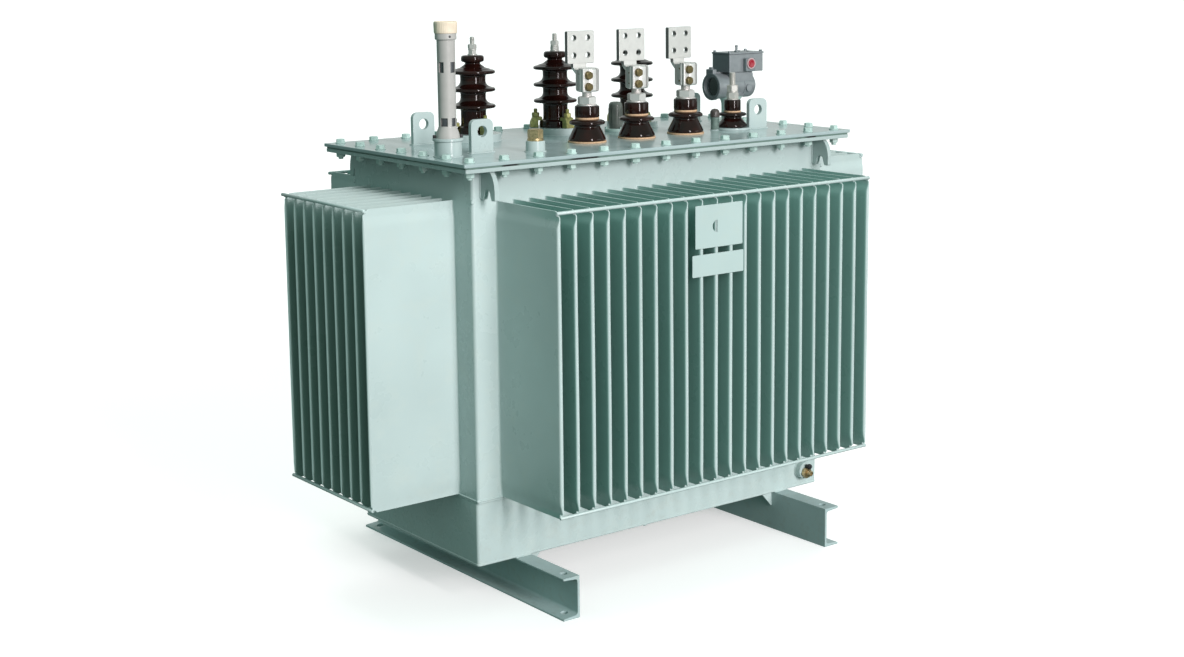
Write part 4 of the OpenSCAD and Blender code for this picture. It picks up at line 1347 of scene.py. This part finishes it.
p = Part()
M = T(120, 62, ZC)
p.add(disc(29, 0, 8, 1.2, 52, 3), M)
for k in range(3):
    Mk = M @ R(30 + 120 * k, "Z") @ T(24.4, 0, 8)
    p.add(hexhead(8, 4.5), Mk @ R(15 * k, "Z"))
make("tap_changer_flange", p, M_FITT, ("tap_changer",), sharp=32)
p = Part()
p.add(lathe(fillet([(0, 7), (17.2, 7), (17.2, 15, 0.6), (18, 15.6), (18, 62), (17.6, 70, 6), (13.0, 76, 4), (0, 76)], 0.5, 5), 56), M)
for k in range(14):
    p.add(block(-1.2, 1.2, -0.8, 0.8, 20, 60, 0.5), M @ R(360 / 14 * k, "Z") @ T(17.9, 0, 0))
make("tap_changer_cap", p, M_CAPG, sharp=36)

# ----------------------------------------------------------------------------
# nameplates, bare
# ----------------------------------------------------------------------------
p = Part()
half = [(-24 - 14 * cos(radians(-90 + 180 * k / 16)), 873 + 14 * sin(radians(-90 + 180 * k / 16))) for k in range(17)][::-1]
v, f = plate(rrect(72, 50, 2.5, 3, -18, 874), 0, 2, 0.5, [half], seg=2, hbev=0.3)
MP = axes((1, 0, 0), (0, 0, 1), (0, -1, 0), (0, -HW - FD, 0))
p.add((v, f), MP)
v, f = plate(rrect(78, 25.5, 2.5, 3, -21, 784.5), 0, 2, 0.5, seg=2)
p.add((v, f), MP)
make("name_plates_bare", p, M_PLATE, ("nameplates",), sharp=32)

# ----------------------------------------------------------------------------
# floor and light
# ----------------------------------------------------------------------------
rad = [0.0, 0.5, 1, 2, 4, 8, 16, 32, 64, 120]
v, f = lathe([(r * 1000 if r else 0.0, 0.0) for r in rad[::1]], 96)
f = [q for q in f if len(q) <= 4]
me = bpy.data.meshes.new("floor")
me.from_pydata((np.array(v) * 0.001).tolist(), [], f)
floor = bpy.data.objects.new("floor", me)
scene.collection.objects.link(floor)
bm = bmesh.new()
bm.from_mesh(me)
bmesh.ops.recalc_face_normals(bm, faces=bm.faces)
if sum(q.normal.z for q in bm.faces) < 0:
    bmesh.ops.reverse_faces(bm, faces=bm.faces)
bm.to_mesh(me)
bm.free()
fm = Mat("floor_pale")
fm.link(fm.ramp(fm.noise(0.8, 2, 0.5), [(0.3, (0.80, 0.80, 0.79)), (0.7, (0.83, 0.83, 0.82))]), "Base Color")
fm.set(Roughness=0.75, Emission_Color=(1, 1, 1, 1), Emission_Strength=0.42)
fm.b.inputs["Specular IOR Level"].default_value = 0.2
me.materials.append(fm.m)
floor.visible_diffuse = False        # the bright floor throws no light back, like a far white sweep
floor.visible_glossy = False

world = bpy.data.worlds.new("studio")
scene.world = world
world.use_nodes = True
wt = world.node_tree
bg = wt.nodes["Background"]
wc = wt.nodes.new("ShaderNodeTexCoord").outputs["Generated"]


def wramp(direction, stops):
    d = wt.nodes.new("ShaderNodeVectorMath")
    d.operation = "DOT_PRODUCT"
    d.inputs[1].default_value = direction
    wt.links.new(wc, d.inputs[0])
    mr = wt.nodes.new("ShaderNodeMapRange")
    mr.inputs["From Min"].default_value = -1.0
    mr.inputs["From Max"].default_value = 1.0
    wt.links.new(d.outputs["Value"], mr.inputs["Value"])
    r = wt.nodes.new("ShaderNodeValToRGB")
    el = r.color_ramp.elements
    while len(el) < len(stops):
        el.new(0.5)
    for e, (p, c) in zip(el, stops):
        e.position = p
        e.color = (*c, 1)
    wt.links.new(mr.outputs[0], r.inputs[0])
    return r.outputs[0]


# brighter behind and to the right, where the white sweep stands; dim on the left; dark below
side = wramp((0.60, 0.80, 0.0), [(0.0, (0.235, 0.38, 0.345)), (0.50, (0.205, 0.33, 0.30)), (0.75, (0.30, 0.365, 0.35)), (1.0, (0.60, 0.62, 0.60))])
tall = wramp((0.0, 0.0, 1.0), [(0.0, (0.30, 0.33, 0.32)), (0.46, (0.45, 0.48, 0.47)), (0.50, (1.0, 1.0, 1.0)), (1.0, (1.3, 1.3, 1.3))])
mx = wt.nodes.new("ShaderNodeMix")
mx.data_type = "RGBA"
mx.blend_type = "MULTIPLY"
mx.inputs[0].default_value = 1.0
wt.links.new(side, mx.inputs[6])
wt.links.new(tall, mx.inputs[7])
wt.links.new(mx.outputs[2], bg.inputs["Color"])
bg.inputs["Strength"].default_value = 1.0


def sun(name, direction, energy, angle, col, glossy=False):
    d = bpy.data.lights.new(name, "SUN")
    d.energy = energy
    d.angle = radians(angle)
    d.color = col
    o = bpy.data.objects.new(name, d)
    scene.collection.objects.link(o)
    o.rotation_euler = Vector(direction).to_track_quat("Z", "Y").to_euler()
    o.visible_glossy = glossy
    return o


def area(name, pos, target, sx, sy, watt, col):
    d = bpy.data.lights.new(name, "AREA")
    d.shape = "RECTANGLE"
    d.size, d.size_y = sx, sy
    d.energy = watt
    d.color = col
    o = bpy.data.objects.new(name, d)
    scene.collection.objects.link(o)
    o.location = pos
    o.rotation_euler = (Vector(pos) - Vector(target)).to_track_quat("Z", "Y").to_euler()
    return o


sun("key_sun", (0.04, -0.955, 0.30), 2.30, 20, (1.0, 0.905, 0.935))
sun("top_sun", (0.30, 0.30, 1.0), 1.3, 50, (1.0, 0.97, 0.97))
area("softbox", (-0.75, -5.4, 2.3), (0, 0, 0.9), 0.55, 4.6, 195, (1.0, 0.93, 0.95))
right = area("right_panel", (4.4, -5.2, 1.9), (0, 0, 1.0), 3.4, 3.4, 42, (1.0, 0.98, 0.96))
right.visible_diffuse = False        # only seen as a reflection, in metal and glaze

scene.view_settings.view_transform = "Standard"
scene.view_settings.look = "None"

bpy.context.view_layer.update()
